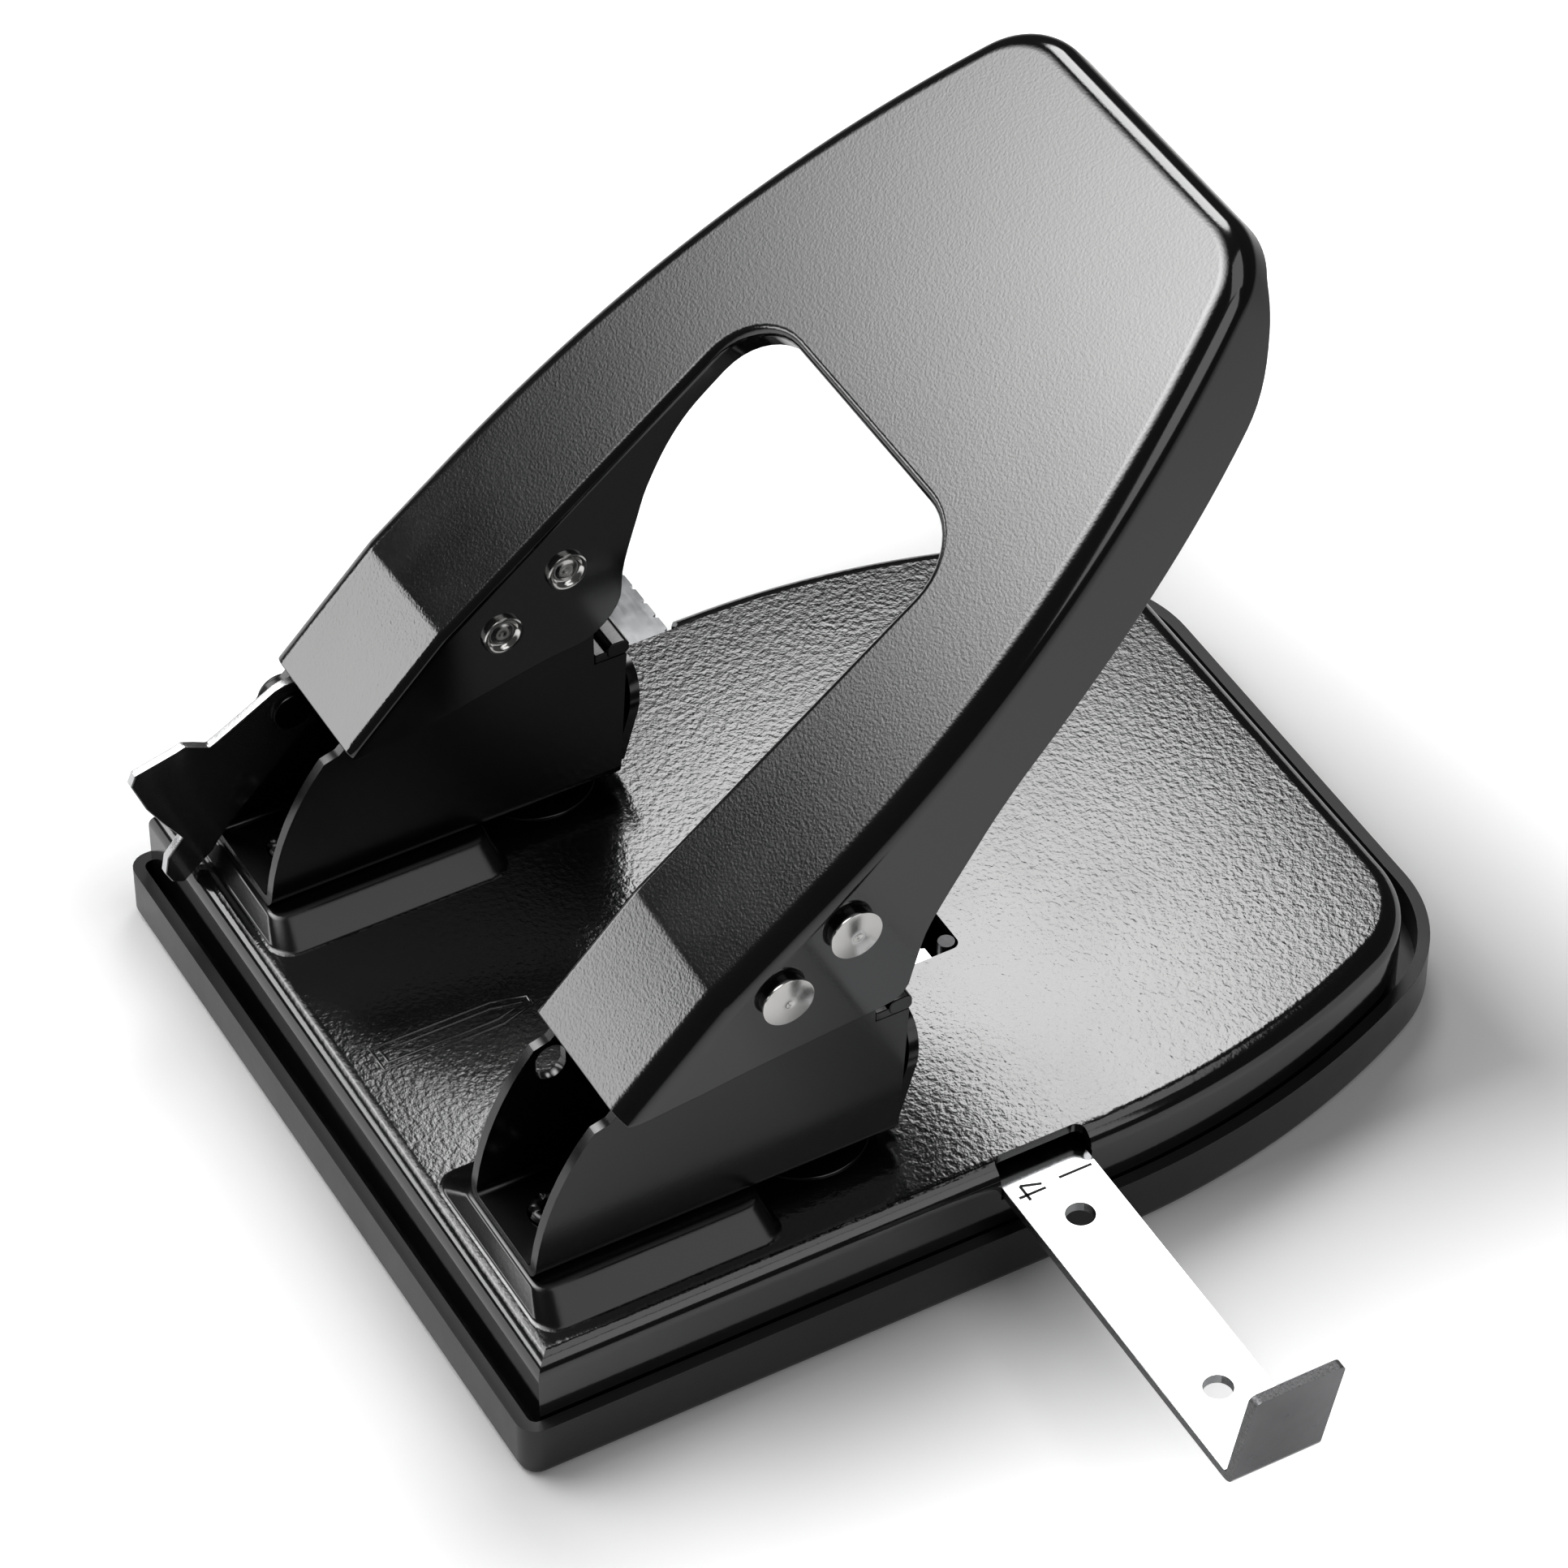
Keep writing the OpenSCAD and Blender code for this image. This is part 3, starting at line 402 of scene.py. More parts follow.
# a darker, rougher copy of the bright plate for the outward face of the guide's tab: painted shade, with more
# roughness
tabShadePlate = metal("tab plate painted shade", (0.17, 0.17, 0.18), (0.33, 0.33, 0.34), 0.30, 0.06,
                  (1, 0.5, 0.06), 1.2, 0.01, cloudSize=9)
shearedLatch = metal("sheared latch edge", (0.55, 0.55, 0.56), (0.78, 0.78, 0.79), 0.26, 0.06,
                     (1, 1, 1), 0.4, 0.02)
nickel = metal("nickel rivet", (0.80, 0.79, 0.77), (0.90, 0.89, 0.87), 0.17, 0.04, (1, 1, 1), 0.25, 0.003)
toolSteel = metal("ground steel", (0.50, 0.51, 0.52), (0.60, 0.61, 0.62), 0.22, 0.06,
                  (1, 1, 0.05), 0.25, 0.004)
springSteel = metal("spring wire", (0.52, 0.53, 0.54), (0.66, 0.67, 0.68), 0.28, 0.06,
                    (1, 1, 0.2), 0.3, 0.004)
darkSteel = metal("blackened steel", (0.030, 0.030, 0.031), (0.070, 0.070, 0.072), 0.30, 0.07,
                  (1, 1, 1), 0.5, 0.01)
scaleInk = metal("scale ink", (0.015, 0.015, 0.015), (0.03, 0.03, 0.03), 0.55, 0.05,
                 (1, 1, 1), 0.3, 0.003, 0.0)
print("materials ready")


# ---- handle: one sheet, drawn as its flat top, folded down all round and given its thickness

handleForm = {
    "outer": 52.4, "inner": 27.6, "front": -26.7, "rear": 113.2, "top": 8.1,
    "turn": 10.5, "sideRadius": 232, "cornerRadius": 13,
    "openingEnd": 58.4, "openingRadius": 10,
    "creaseAt": -5.2, "creaseAngle": 7.3, "creaseWidth": 1.1,
    "bend": 3.7, "openingBend": 1.4, "sheet": 1.3, "lip": 4.4, "station": 1.5,
    "bendSteps": 8, "wallLeft": 0.25,    # the least upright part of a skirt under its bend
    # the straight lower edge of the front corners, and where it ends
    "frontEdge": (-24.2, 1.9), "frontEdgeAngle": 31.4, "frontPart": -10,
    "outerLobe": [(-26.7, 3.4), (-24.2, 1.6), (-11.4, -5.9), (4.8, -16.3), (7.2, -17.7),
                  (9.3, -18.0), (11.2, -17.1), (12.8, -15.8), (18.9, -12.1), (32.7, -8.3), (39.9, -7.2),
                  (46.6, -6.9), (94.2, -6.9), (101.0, -5.0), (110.2, 1.6)],
    "innerLobe": [(-26.7, 3.0), (-23.4, 1.0), (-11.4, -4.9), (1.3, -11.2), (5.3, -13.7), (8.0, -14.2),
                  (10.6, -14.0), (13.3, -13.1), (15.2, -11.3), (17.6, -8.8), (24.5, -3.8), (28.5, -1.1),
                  (35.9, 2.3), (42.6, 3.7), (60.0, 3.7)],
}


def makeHandle(form):
    steps = int((form["turn"] - form["front"]) / form["station"])
    right = [(form["outer"], form["front"] + (form["turn"] - form["front"]) * i / steps)
             for i in range(steps)]
    plan = halfPlan(form["outer"], form["front"], form["rear"], form["turn"], form["sideRadius"],
                    form["cornerRadius"], 56, 14)
    outer = bothHalves(right + plan[1:])
    radius, end = form["openingRadius"], form["openingEnd"]
    steps = int((end - radius - form["front"]) / form["station"])
    straight = [(form["inner"], form["front"] + (end - radius - form["front"]) * i / steps)
                for i in range(steps)]
    inner = bothHalves(straight + arcPoints(form["inner"] - radius, end - radius, radius, 0, 90, 10))
    outline = outer + [(-x, y) for x, y in inner]
    piece = drawLine("handle_shell", [(x, y, form["top"]) for x, y in outline], fill=True)

    editPiece(piece)
    selectAll()
    bpy.ops.mesh.bisect(plane_co=(0, form["creaseAt"] * mm, 0), plane_no=(0, 1, 0))
    slope = math.tan(math.radians(form["creaseAngle"]))
    frontRows = sorted({round(v.co.y / mm, 3) for v in bmesh.from_edit_mesh(piece.data).verts
                        if v.co.y / mm < form["creaseAt"] - 0.01})
    for row in frontRows:                # the front flap slopes further down
        pick(piece, "verts", lambda v: abs(v.co.y / mm - row) < 0.004)
        bpy.ops.transform.translate(value=(0, 0, (row - form["creaseAt"]) * slope * mm))
    pick(piece, "edges", lambda e: e.is_manifold and e.calc_face_angle(0) > math.radians(3))
    bpy.ops.mesh.bevel(offset=form["creaseWidth"] * mm, segments=3, affect="EDGES")
    selectAll()
    bpy.ops.mesh.remove_doubles(threshold=0.3 * mm)

    pick(piece, "edges", lambda e: e.is_boundary
         and not all(v.co.y / mm < form["front"] + 0.05 for v in e.verts))
    extrudeBy(0, 0, -form["lip"])

    def topAt(y):
        return form["top"] + min(0, y - form["creaseAt"]) * slope

    mesh = bmesh.from_edit_mesh(piece.data)
    low = [v for v in mesh.verts if v.select]
    places = sorted({(insideOpening(v.co, form), round(v.co.y / mm, 3)) for v in low})
    drops = {}
    for inside, row in places:           # every station of the skirts goes down to its own depth
        table = form["innerLobe"] if inside else form["outerLobe"]
        bend = form["openingBend" if inside else "bend"]
        drops[(inside, row)] = min(smoothCurve(table, row), topAt(row) - bend - form["wallLeft"])
    lowIndex = {v.index for v in low}
    for (inside, row), target in drops.items():
        pick(piece, "verts", lambda v: v.index in lowIndex and abs(v.co.y / mm - row) < 0.004
             and insideOpening(v.co, form) == inside)
        picked = [v.co.z / mm for v in bmesh.from_edit_mesh(piece.data).verts if v.select]
        bpy.ops.transform.translate(value=(0, 0, (target - max(picked)) * mm))
    selectAll()
    bpy.ops.mesh.normals_make_consistent(inside=False)
    for inside, bend in ((False, form["bend"]), (True, form["openingBend"])):
        pick(piece, "edges", lambda e: e.is_manifold and e.calc_face_angle(0) > 1.0
             and all(insideOpening(v.co, form) == inside for v in e.verts))
        bpy.ops.mesh.bevel(offset=bend * mm, segments=form["bendSteps"], affect="EDGES", clamp_overlap=False)
    pick(piece, "faces", lambda f: all(v.co.y / mm < form["frontPart"] for v in f.verts))
    y, z = form["frontEdge"]
    slant = math.radians(form["frontEdgeAngle"])
    bpy.ops.mesh.bisect(plane_co=(0, y * mm, z * mm), plane_no=(0, math.sin(slant), math.cos(slant)),
                        clear_inner=True)
    mesh = bmesh.from_edit_mesh(piece.data)
    widest = max(mesh.faces, key=lambda f: f.calc_area())
    if widest.normal.z < 0:
        selectAll()
        bpy.ops.mesh.flip_normals()
    selectAll()
    bpy.ops.mesh.remove_doubles(threshold=0.04 * mm)
    bpy.ops.mesh.dissolve_degenerate(threshold=0.04 * mm)
    leaveEdit()
    addThickness(piece, form["sheet"])
    piece.rotation_euler = (math.radians(handleFrame["turn"]), 0, 0)
    piece.location = Vector(handleFrame["centre"]) * mm
    workOn(piece)
    applyPlace()
    softenEdges(piece, 0.42, 50, 3, 32)
    return piece


def insideOpening(place, form):          # whether a point belongs to the edge round the opening
    x, y = abs(place.x / mm), place.y / mm
    return x < form["inner"] + 0.5 and y < form["openingEnd"] + 0.5


handle = makeHandle(handleForm)
dress(handle, "lever", "black_paint", [handlePaint], "handle")


# ---- base plate: deck and skirt folded from one sheet, with plinths, rings, slots and the pointer

baseForm = {
    "halfWidth": 60.5, "front": -77.05, "rear": 72.95, "turn": 12, "sideRadius": 127.9, "cornerRadius": 17,
    "deck": 19.3, "seat": 3.0, "bend": 3.2, "sheet": 1.5,
    "slot": [(57.3, -5.7, 13.9), (63.0, 8.7, 22.0)], "slotRadius": 1.6,
    "window": [(6.0, -1.5, 16.0), (20.2, 11.5, 21.0)], "windowRadius": 1.4,
    "pinAt": (40, -25.6), "ringRadius": 9.5, "ringHeight": 0.3, "ringDepth": 1, "seatRadius": 5.52,
    "cutterHeight": 8,
    "plinth": [(-15.8, -73.6), (15.8, -36.9)], "plinthRadius": 2.6,
    # height over the deck, and how far the sides, the front and the rear stand back from the foot
    "plinthRise": [(-0.02, -0.9, -0.6, -0.6), (0.05, -0.5, -0.32, -0.32), (0.15, -0.2, -0.12, -0.13),
                   (0.32, 0.05, 0.0, 0.25), (2.20, 4.1, 1.3, 0.6), (2.40, 4.5, 1.45, 0.66),
                   (2.54, 5.0, 1.7, 0.78), (2.60, 5.6, 2.1, 1.1)],
    "pointerAt": (0, -70.4), "pointerSize": (4.6, 23.8), "pointerInset": 1.15, "pointerLine": 0.45,
    "pointerSink": 0.33, "smoothAbove": 0.04,
}


def roundRect(x0, x1, y0, y1, r, steps=6):
    return (arcPoints(x1 - r, y1 - r, r, 0, 90, steps) + arcPoints(x0 + r, y1 - r, r, 90, 180, steps)
            + arcPoints(x0 + r, y0 + r, r, 180, 270, steps) + arcPoints(x1 - r, y0 + r, r, 270, 360, steps))


def makePointerLine(form, inset):        # one fine raised line of the centre pointer
    (x, y), (wide, long) = form["pointerAt"], form["pointerSize"]
    half, tip = wide / 2 - inset, max(wide * 0.2 - inset, 0.12)
    y0, shoulder, y1 = y + inset, y + long * 0.78 - inset * 0.3, y + long - inset
    z = form["deck"] - form["pointerSink"]
    corners = [(x - half, y0, z), (x + half, y0, z), (x + half, shoulder, z), (x + tip, y1, z),
               (x - tip, y1, z), (x - half, shoulder, z), (x - half, y0, z)]
    line = drawLine("pointer", corners)
    outward(line)
    workOn(line)
    bpy.ops.object.convert(target="CURVE")
    line = bpy.context.object
    line.data.bevel_depth, line.data.bevel_resolution = form["pointerLine"] * mm, 10
    bpy.ops.object.convert(target="MESH")
    line = bpy.context.object
    smoothBy(line, 50)
    return line


def makePlinth(form, middle):            # pressed up in steps: sloping sides, steep front, upright rear
    (x0, y0), (x1, y1) = form["plinth"]
    last = form["plinthRise"][0]
    foot = roundRect(middle + x0 + last[1], middle + x1 - last[1], y0 + last[2], y1 - last[3],
                     form["plinthRadius"] - last[1])
    piece = drawLine("plinth", [(x, y, form["deck"] + last[0]) for x, y in foot], fill=True)
    editPiece(piece, "FACE")
    selectAll()
    bpy.ops.mesh.normals_make_consistent(inside=False)
    if bmesh.from_edit_mesh(piece.data).faces[0].normal.z < 0:
        bpy.ops.mesh.flip_normals()
    for step in form["plinthRise"][1:]:
        extrudeBy(0, 0, step[0] - last[0])
        across = (x1 - step[1]) / (x1 - last[1])
        along = (y1 - step[3] - y0 - step[2]) / (y1 - last[3] - y0 - last[2])
        rear = (y1 - last[3]) * mm
        bpy.ops.transform.resize(value=(across, along, 1), center_override=(middle * mm, rear, 0))
        bpy.ops.transform.translate(value=(0, (last[3] - step[3]) * mm, 0))
        last = step
    leaveEdit()
    smoothBy(piece, 32)
    return piece


def dieSeat(form, x, y):                 # the round cutter for a die's seat
    return addCylinder(form["seatRadius"], form["cutterHeight"], (x, y, form["deck"]))


def makeBase(form):
    plan = bothHalves(halfPlan(form["halfWidth"], form["front"], form["rear"], form["turn"],
                               form["sideRadius"], form["cornerRadius"], 24, 16))
    piece = drawLine("base_plate_shell", [(x, y, form["deck"]) for x, y in plan], fill=True)
    editPiece(piece)
    pick(piece, "edges", lambda e: e.is_boundary)
    extrudeBy(0, 0, form["seat"] - form["deck"])
    pick(piece, "faces", lambda f: all(abs(v.co.z / mm - form["seat"]) < 0.01 for v in f.verts))
    bpy.ops.mesh.delete(type="ONLY_FACE")
    selectAll()
    bpy.ops.mesh.normals_make_consistent(inside=False)
    deck = form["deck"]
    pick(piece, "edges", lambda e: e.is_manifold and all(abs(v.co.z / mm - deck) < 0.01 for v in e.verts))
    bpy.ops.mesh.bevel(offset=form["bend"] * mm, segments=8, affect="EDGES", clamp_overlap=False)
    mesh = bmesh.from_edit_mesh(piece.data)
    if max(mesh.faces, key=lambda f: f.calc_area()).normal.z < 0:
        selectAll()
        bpy.ops.mesh.flip_normals()
    leaveEdit()
    addThickness(piece, form["sheet"])

    for side in (-1, 1):                 # the guide's way out through each skirt
        (x0, y0, z0), (x1, y1, z1) = form["slot"]
        cutter = drawBox("slot", (min(side * x0, side * x1), y0, z0), (max(side * x0, side * x1), y1, z1))
        editPiece(cutter)
        pick(cutter, "edges", lambda e: abs(e.verts[0].co.z - e.verts[1].co.z) > 1 * mm
             and abs(abs(e.verts[0].co.x / mm) - x0) < 0.01)
        bpy.ops.mesh.bevel(offset=form["slotRadius"] * mm, segments=6, affect="EDGES")
        leaveEdit()
        cutAway(piece, cutter)
    cutter = drawBox("window", *form["window"])
    editPiece(cutter)
    pick(cutter, "edges", lambda e: abs(e.verts[0].co.z - e.verts[1].co.z) > 1 * mm)
    bpy.ops.mesh.bevel(offset=form["windowRadius"] * mm, segments=6, affect="EDGES")
    leaveEdit()
    cutAway(piece, cutter)

    pinX, pinY = form["pinAt"]
    for side in (-1, 1):                 # the seats of the dies
        cutAway(piece, dieSeat(form, side * pinX, pinY))
    softenEdges(piece, 0.22, 35, 2, 32)

    extras = [piece] + [makePointerLine(form, inset) for inset in (0, form["pointerInset"])]
    for side in (-1, 1):                 # the plinths and the raised rings
        extras.append(makePlinth(form, side * pinX))
        middle = form["deck"] + form["ringHeight"] - form["ringDepth"] / 2
        ring = addCylinder(form["ringRadius"], form["ringDepth"], (side * pinX, pinY, middle))
        cutAway(ring, dieSeat(form, side * pinX, pinY))
        softenEdges(ring, 0.28, 40, 3, 50)
        extras.append(ring)
    whole = joinAll(extras, "base_plate_shell")
    smoothFrom = (form["deck"] + form["smoothAbove"]) * mm
    paintFaces(whole, 1, lambda face: face.center.z > smoothFrom)
    return whole


basePlate = makeBase(baseForm)
dress(basePlate, "base", "black_paint", [deckPaint, smoothPaint], "base_plate")


# ---- chip tray: a pan raised from its floor, with a rounded rim, a ledge and an inner pocket

trayForm = {
    "halfWidth": 62.6, "front": -80.25, "rear": 80.25, "turn": 12, "sideRadius": 130, "cornerRadius": 22,
    "frontRadius": 3.0, "height": 8.8, "draft": 0.5, "foot": 1.2, "wall": 1.8, "ledge": 3.0,
    "ledgeWidth": 3.8, "pocketShare": 0.958, "pocketShift": -2.05, "floor": 1.6, "rim": 0.5,
}


def makeTray(form):
    plan = halfPlan(form["halfWidth"], form["front"], form["rear"], form["turn"],
                    form["sideRadius"], form["cornerRadius"], 24, 18)
    x, y, r = plan[0][0], plan[0][1], form["frontRadius"]
    plan = arcPoints(x - r, y + r, r, -90, 0, 6) + plan[1:]
    piece = drawLine("chip_tray_shell", [(px, py, form["height"]) for px, py in bothHalves(plan)], fill=True)
    editPiece(piece)
    pick(piece, "edges", lambda e: e.is_boundary)
    extrudeBy(0, 0, form["foot"] - form["height"])
    bpy.ops.mesh.edge_face_add()
    selectAll()
    bpy.ops.mesh.normals_make_consistent(inside=False)
    pick(piece, "faces", lambda f: f.normal.z < -0.9)
    bpy.ops.mesh.inset(thickness=form["draft"] * mm, depth=form["foot"] * mm)
    pick(piece, "faces", lambda f: f.normal.z > 0.9)
    bpy.ops.mesh.inset(thickness=form["wall"] * mm, depth=0)
    extrudeBy(0, 0, form["ledge"] - form["height"])
    bpy.ops.mesh.inset(thickness=form["ledgeWidth"] * mm, depth=0)
    bpy.ops.transform.resize(value=(1, form["pocketShare"], 1), center_override=(0, 0, 0))
    bpy.ops.transform.translate(value=(0, form["pocketShift"] * mm, 0))
    extrudeBy(0, 0, form["floor"] - form["ledge"])
    leaveEdit()
    outward(piece)
    softenEdges(piece, form["rim"], 40, 3, 40)
    return piece


chipTray = makeTray(trayForm)
dress(chipTray, "tray", "black_plastic", [trayPlastic], "chip_tray")


# ---- rivets, turned from their profiles

rivetForm = {
    "pivotAt": (-35.3, 61.6), "driveAt": (-25.106, 69.006), "outerSkin": 52.4, "innerSkin": 27.6,
    # along the rivet from the skin, and radius
    "collar": [(-0.6, 0), (-0.6, 3.45), (0.6, 3.45), (0.78, 3.3), (0.85, 3.0), (0.85, 0)],
    "head": [(0.8, 0), (0.8, 3.1), (0.92, 3.66), (1.06, 3.82), (1.28, 3.86), (1.38, 3.81), (1.42, 3.66),
             (1.68, 1.3), (1.71, 0.8), (1.69, 0.52), (1.55, 0.34), (1.48, 0)],
    "eyelet": [(-0.2, 0), (-0.2, 3.05), (0.42, 3.12), (0.64, 3.05), (0.75, 2.88), (0.73, 2.68), (0.60, 2.48),
               (0.36, 2.30), (0.14, 2.12), (0.06, 1.95), (0.05, 1.75), (0.12, 1.5), (0.20, 1.2), (0.22, 0.8),
               (0.16, 0.4), (0.12, 0)],
    "shank": [(28.8, 0), (28.8, 2.45), (52.4, 2.45), (52.4, 0)],
}


def turnAbout(name, profile, y, z, steps=44):   # spins a profile of (x, radius) points about a line along X
    piece = drawLine(name, [(x, y, z + r) for x, r in profile])
    editPiece(piece)
    selectAll()
    bpy.ops.mesh.spin(steps=steps, angle=2 * math.pi, center=(0, y * mm, z * mm), axis=(1, 0, 0))
    leaveEdit()
    outward(piece)
    smoothBy(piece, 38)
    return piece


def makeArmRivet(form, name, place, side):
    y, z = place
    parts = []
    for key, index in (("head", 0), ("collar", 1), ("shank", 0)):
        offset = 0 if key == "shank" else form["outerSkin"]
        parts.append((turnAbout(name, [(side * (offset + x), r) for x, r in form[key]], y, z), index))
    parts.append((turnAbout(name, [(side * (form["innerSkin"] - x), r) for x, r in form["eyelet"]], y, z), 0))
    for part, index in parts:
        part.data.materials.append(nickel)
        part.data.materials.append(smoothPaint)
        paintFaces(part, index, lambda face: True)
    return joinAll([part for part, index in parts], name)


for label, side in (("left", -1), ("right", 1)):
    for kind, body in (("pivot", "base"), ("drive", "lever")):
        rivet = makeArmRivet(rivetForm, kind + "_rivet_turned_" + label, rivetForm[kind + "At"], side)
        dress(rivet, body, "nickel", [], kind + "_rivet_" + label)


# ---- return springs, screwed round from the wire's section

springForm = {"at": (40, -25.6), "meanRadius": 3.85, "wireRadius": 0.5, "low": 48.02, "high": 62.84,
              "turns": 5.5}


def makeSpring(form, name, side):
    x, y = side * form["at"][0], form["at"][1]
    deselectAll()
    bpy.ops.mesh.primitive_circle_add(vertices=10, radius=form["wireRadius"] * mm, fill_type="NOTHING",
                                      location=(form["meanRadius"] * mm, 0, 0), rotation=(math.pi / 2, 0, 0))
    piece = bpy.context.object
    piece.name = piece.data.name = name
    applyPlace()
    wind = piece.modifiers.new("wind", "SCREW")
    wind.angle = 2 * math.pi * form["turns"]
    wind.screw_offset = (form["high"] - form["low"]) * mm
    wind.iterations, wind.steps, wind.render_steps = 1, 160, 160
    bpy.ops.object.modifier_apply(modifier=wind.name)
    editPiece(piece)
    pick(piece, "edges", lambda e: e.is_boundary and e.verts[0].co.z < 0.6 * mm)
    bpy.ops.mesh.edge_face_add()
    pick(piece, "edges", lambda e: e.is_boundary)
    bpy.ops.mesh.edge_face_add()
    selectAll()
    bpy.ops.transform.translate(value=(x * mm, y * mm, form["low"] * mm))
    leaveEdit()
    outward(piece)
    smoothBy(piece, 50)
    return piece


for label, side in (("left", -1), ("right", 1)):
    spring = makeSpring(springForm, "return_spring_coil_" + label, side)
    dress(spring, "base", "spring_steel", [springSteel], "return_spring_" + label)
    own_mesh(spring)


# ---- paper guide: one bent strip with its holes, notches and scale

guideForm = {
    "low": 14.2, "high": 15.8, "near": -5.4, "far": 8.4, "start": -80.0, "end": 119.4,
    "tabTop": 35.0, "tabAngle": 12.0, "bendRadius": 2.2, "bendSteps": 8, "corner": 1.0,
    "holes": [104.8, 69.4], "holeMiddle": 1.5, "holeRadius": 2.1, "cutterHeight": 8,
    "notchPitch": 3.6, "pegAt": 18.4, "notchesLeft": 26, "notchesRight": 7, "notchDepth": 0.6,
    "notchCut": (13, 4),                 # the cutters' foot and height
    "edgeTurn": 0.75, "shearedAbove": 34, "shadedTabAbove": 17.2, "inkFoot": 0.1,
    "tickAt": 62.2, "tick": (2.4, 7.6), "inkWidth": 0.42, "inkHeight": 0.04,
    "markStrokes": [((62.9, -4.3), (62.9, -0.1)), ((61.0, -3.1), (63.9, -3.1)), ((61.0, -3.1), (62.0, -0.2))],
}


def drawStroke(name, start, end, wide, low, high):       # one straight ink line lying on the strip
    (x0, y0), (x1, y1) = start, end
    long = math.hypot(x1 - x0, y1 - y0)
    stroke = drawBox(name, (-long / 2, -wide / 2, low), (long / 2, wide / 2, high))
    stroke.rotation_euler = (0, 0, math.atan2(y1 - y0, x1 - x0))
    stroke.location = ((x0 + x1) / 2 * mm, (y0 + y1) / 2 * mm, 0)
    workOn(stroke)
    applyPlace()
    return stroke


def makeGuide(form):
    lean = math.radians(form["tabAngle"])
    outerR = form["bendRadius"]
    innerR = outerR - (form["high"] - form["low"])
    bendX, bendZ = form["end"] - outerR, form["low"] + outerR
    turns = [(math.pi / 2 - lean) * i / form["bendSteps"] for i in range(form["bendSteps"] + 1)]
    outside, inside = [[(bendX + r * math.sin(a), bendZ - r * math.cos(a)) for a in turns]
                       for r in (outerR, innerR)]
    along = (math.sin(lean), math.cos(lean))

    def risen(point):
        t = (form["tabTop"] - point[1]) / along[1]
        return (point[0] + along[0] * t, form["tabTop"])
    side = ([(form["start"], form["low"])] + outside + [risen(outside[-1]), risen(inside[-1])]
            + inside[::-1] + [(form["start"], form["high"])])
    piece = drawLine("paper_guide_strip", [(x, form["near"], z) for x, z in side], fill=True)
    editPiece(piece, "FACE")
    selectAll()
    extrudeBy(0, form["far"] - form["near"], 0)
    leaveEdit()
    outward(piece)
    editPiece(piece, "EDGE")             # round the corners of both ends
    pick(piece, "edges", lambda e: (all(v.co.z / mm > form["tabTop"] - 0.01 for v in e.verts)
         or all(v.co.x / mm < form["start"] + 0.01 for v in e.verts))
         and abs(e.verts[0].co.y - e.verts[1].co.y) < 0.01 * mm)
    bpy.ops.mesh.bevel(offset=form["corner"] * mm, segments=4, affect="EDGES")
    leaveEdit()
    for x in form["holes"]:
        place = (x, form["holeMiddle"], form["low"])
        cutAway(piece, addCylinder(form["holeRadius"], form["cutterHeight"], place, vertices=40))
    cutters = []
    for i in range(-form["notchesLeft"], form["notchesRight"] + 1):
        x, y, d = form["pegAt"] + i * form["notchPitch"], form["far"], form["notchDepth"]
        z = form["notchCut"][0]
        cutter = drawLine("notch", [(x - 1.5 * d, y + 1, z), (x - 0.4 * d, y - 0.8 * d, z), (x, y - d, z),
                                    (x + 0.4 * d, y - 0.8 * d, z), (x + 1.5 * d, y + 1, z)], fill=True)
        editPiece(cutter, "FACE")
        selectAll()
        extrudeBy(0, 0, form["notchCut"][1])
        leaveEdit()
        outward(cutter)
        cutters.append(cutter)
    cutAway(piece, joinAll(cutters, "notches"))
    softenEdges(piece, 0.12, 40, 2, 35)
    turned, sheared, shadeFrom = form["edgeTurn"], form["shearedAbove"] * mm, form["shadedTabAbove"] * mm
    paintFaces(piece, 1, lambda face: abs(face.normal.y) > turned or face.normal.x < -turned
               or (face.normal.z > turned and face.center.z > sheared))
    # the tab's outward face above this height takes the darker plate copy: painted shade
    paintFaces(piece, 3, lambda face: face.normal.x > turned and face.center.z > shadeFrom)

    ink = []                             # the engraved stop line and a plain number
    foot, top, half = form["high"] - form["inkFoot"], form["high"] + form["inkHeight"], form["inkWidth"] / 2
    ink.append(drawBox("tick", (form["tickAt"] - half, form["tick"][0], foot),
                       (form["tickAt"] + half, form["tick"][1], top)))
    for start, end in form["markStrokes"]:
        ink.append(drawStroke("mark", start, end, form["inkWidth"], foot, top))
    for part in ink + [piece]:
        for material in (brightPlate, shearedPlate, scaleInk, tabShadePlate):
            part.data.materials.append(material)
        if part is not piece:
            paintFaces(part, 2, lambda face: True)
    return joinAll([piece] + ink, "paper_guide_strip")


paperGuide = makeGuide(guideForm)
dress(paperGuide, "guide", "bright_plate", [], "paper_guide")


# ---- lock lever, with its bright sheared edge

lockLever = copyNode("lock_lever", "lock_lever_plate")
softenEdges(lockLever, 0.22, 30, 3, 40)
paintFaces(lockLever, 1, lambda face: abs(face.normal.x) < 0.55)
dress(lockLever, "lock", "black_paint", [latchPaint, shearedLatch], "lock_lever")


# ---- upper pin guides, with the rolled lip that fills the cheeks' notches

lipForm = {"halfWidth": 9.6, "y": (-17.5, -13.95), "z": (46.2, 48.7), "roll": 0.95, "edge": 0.25}

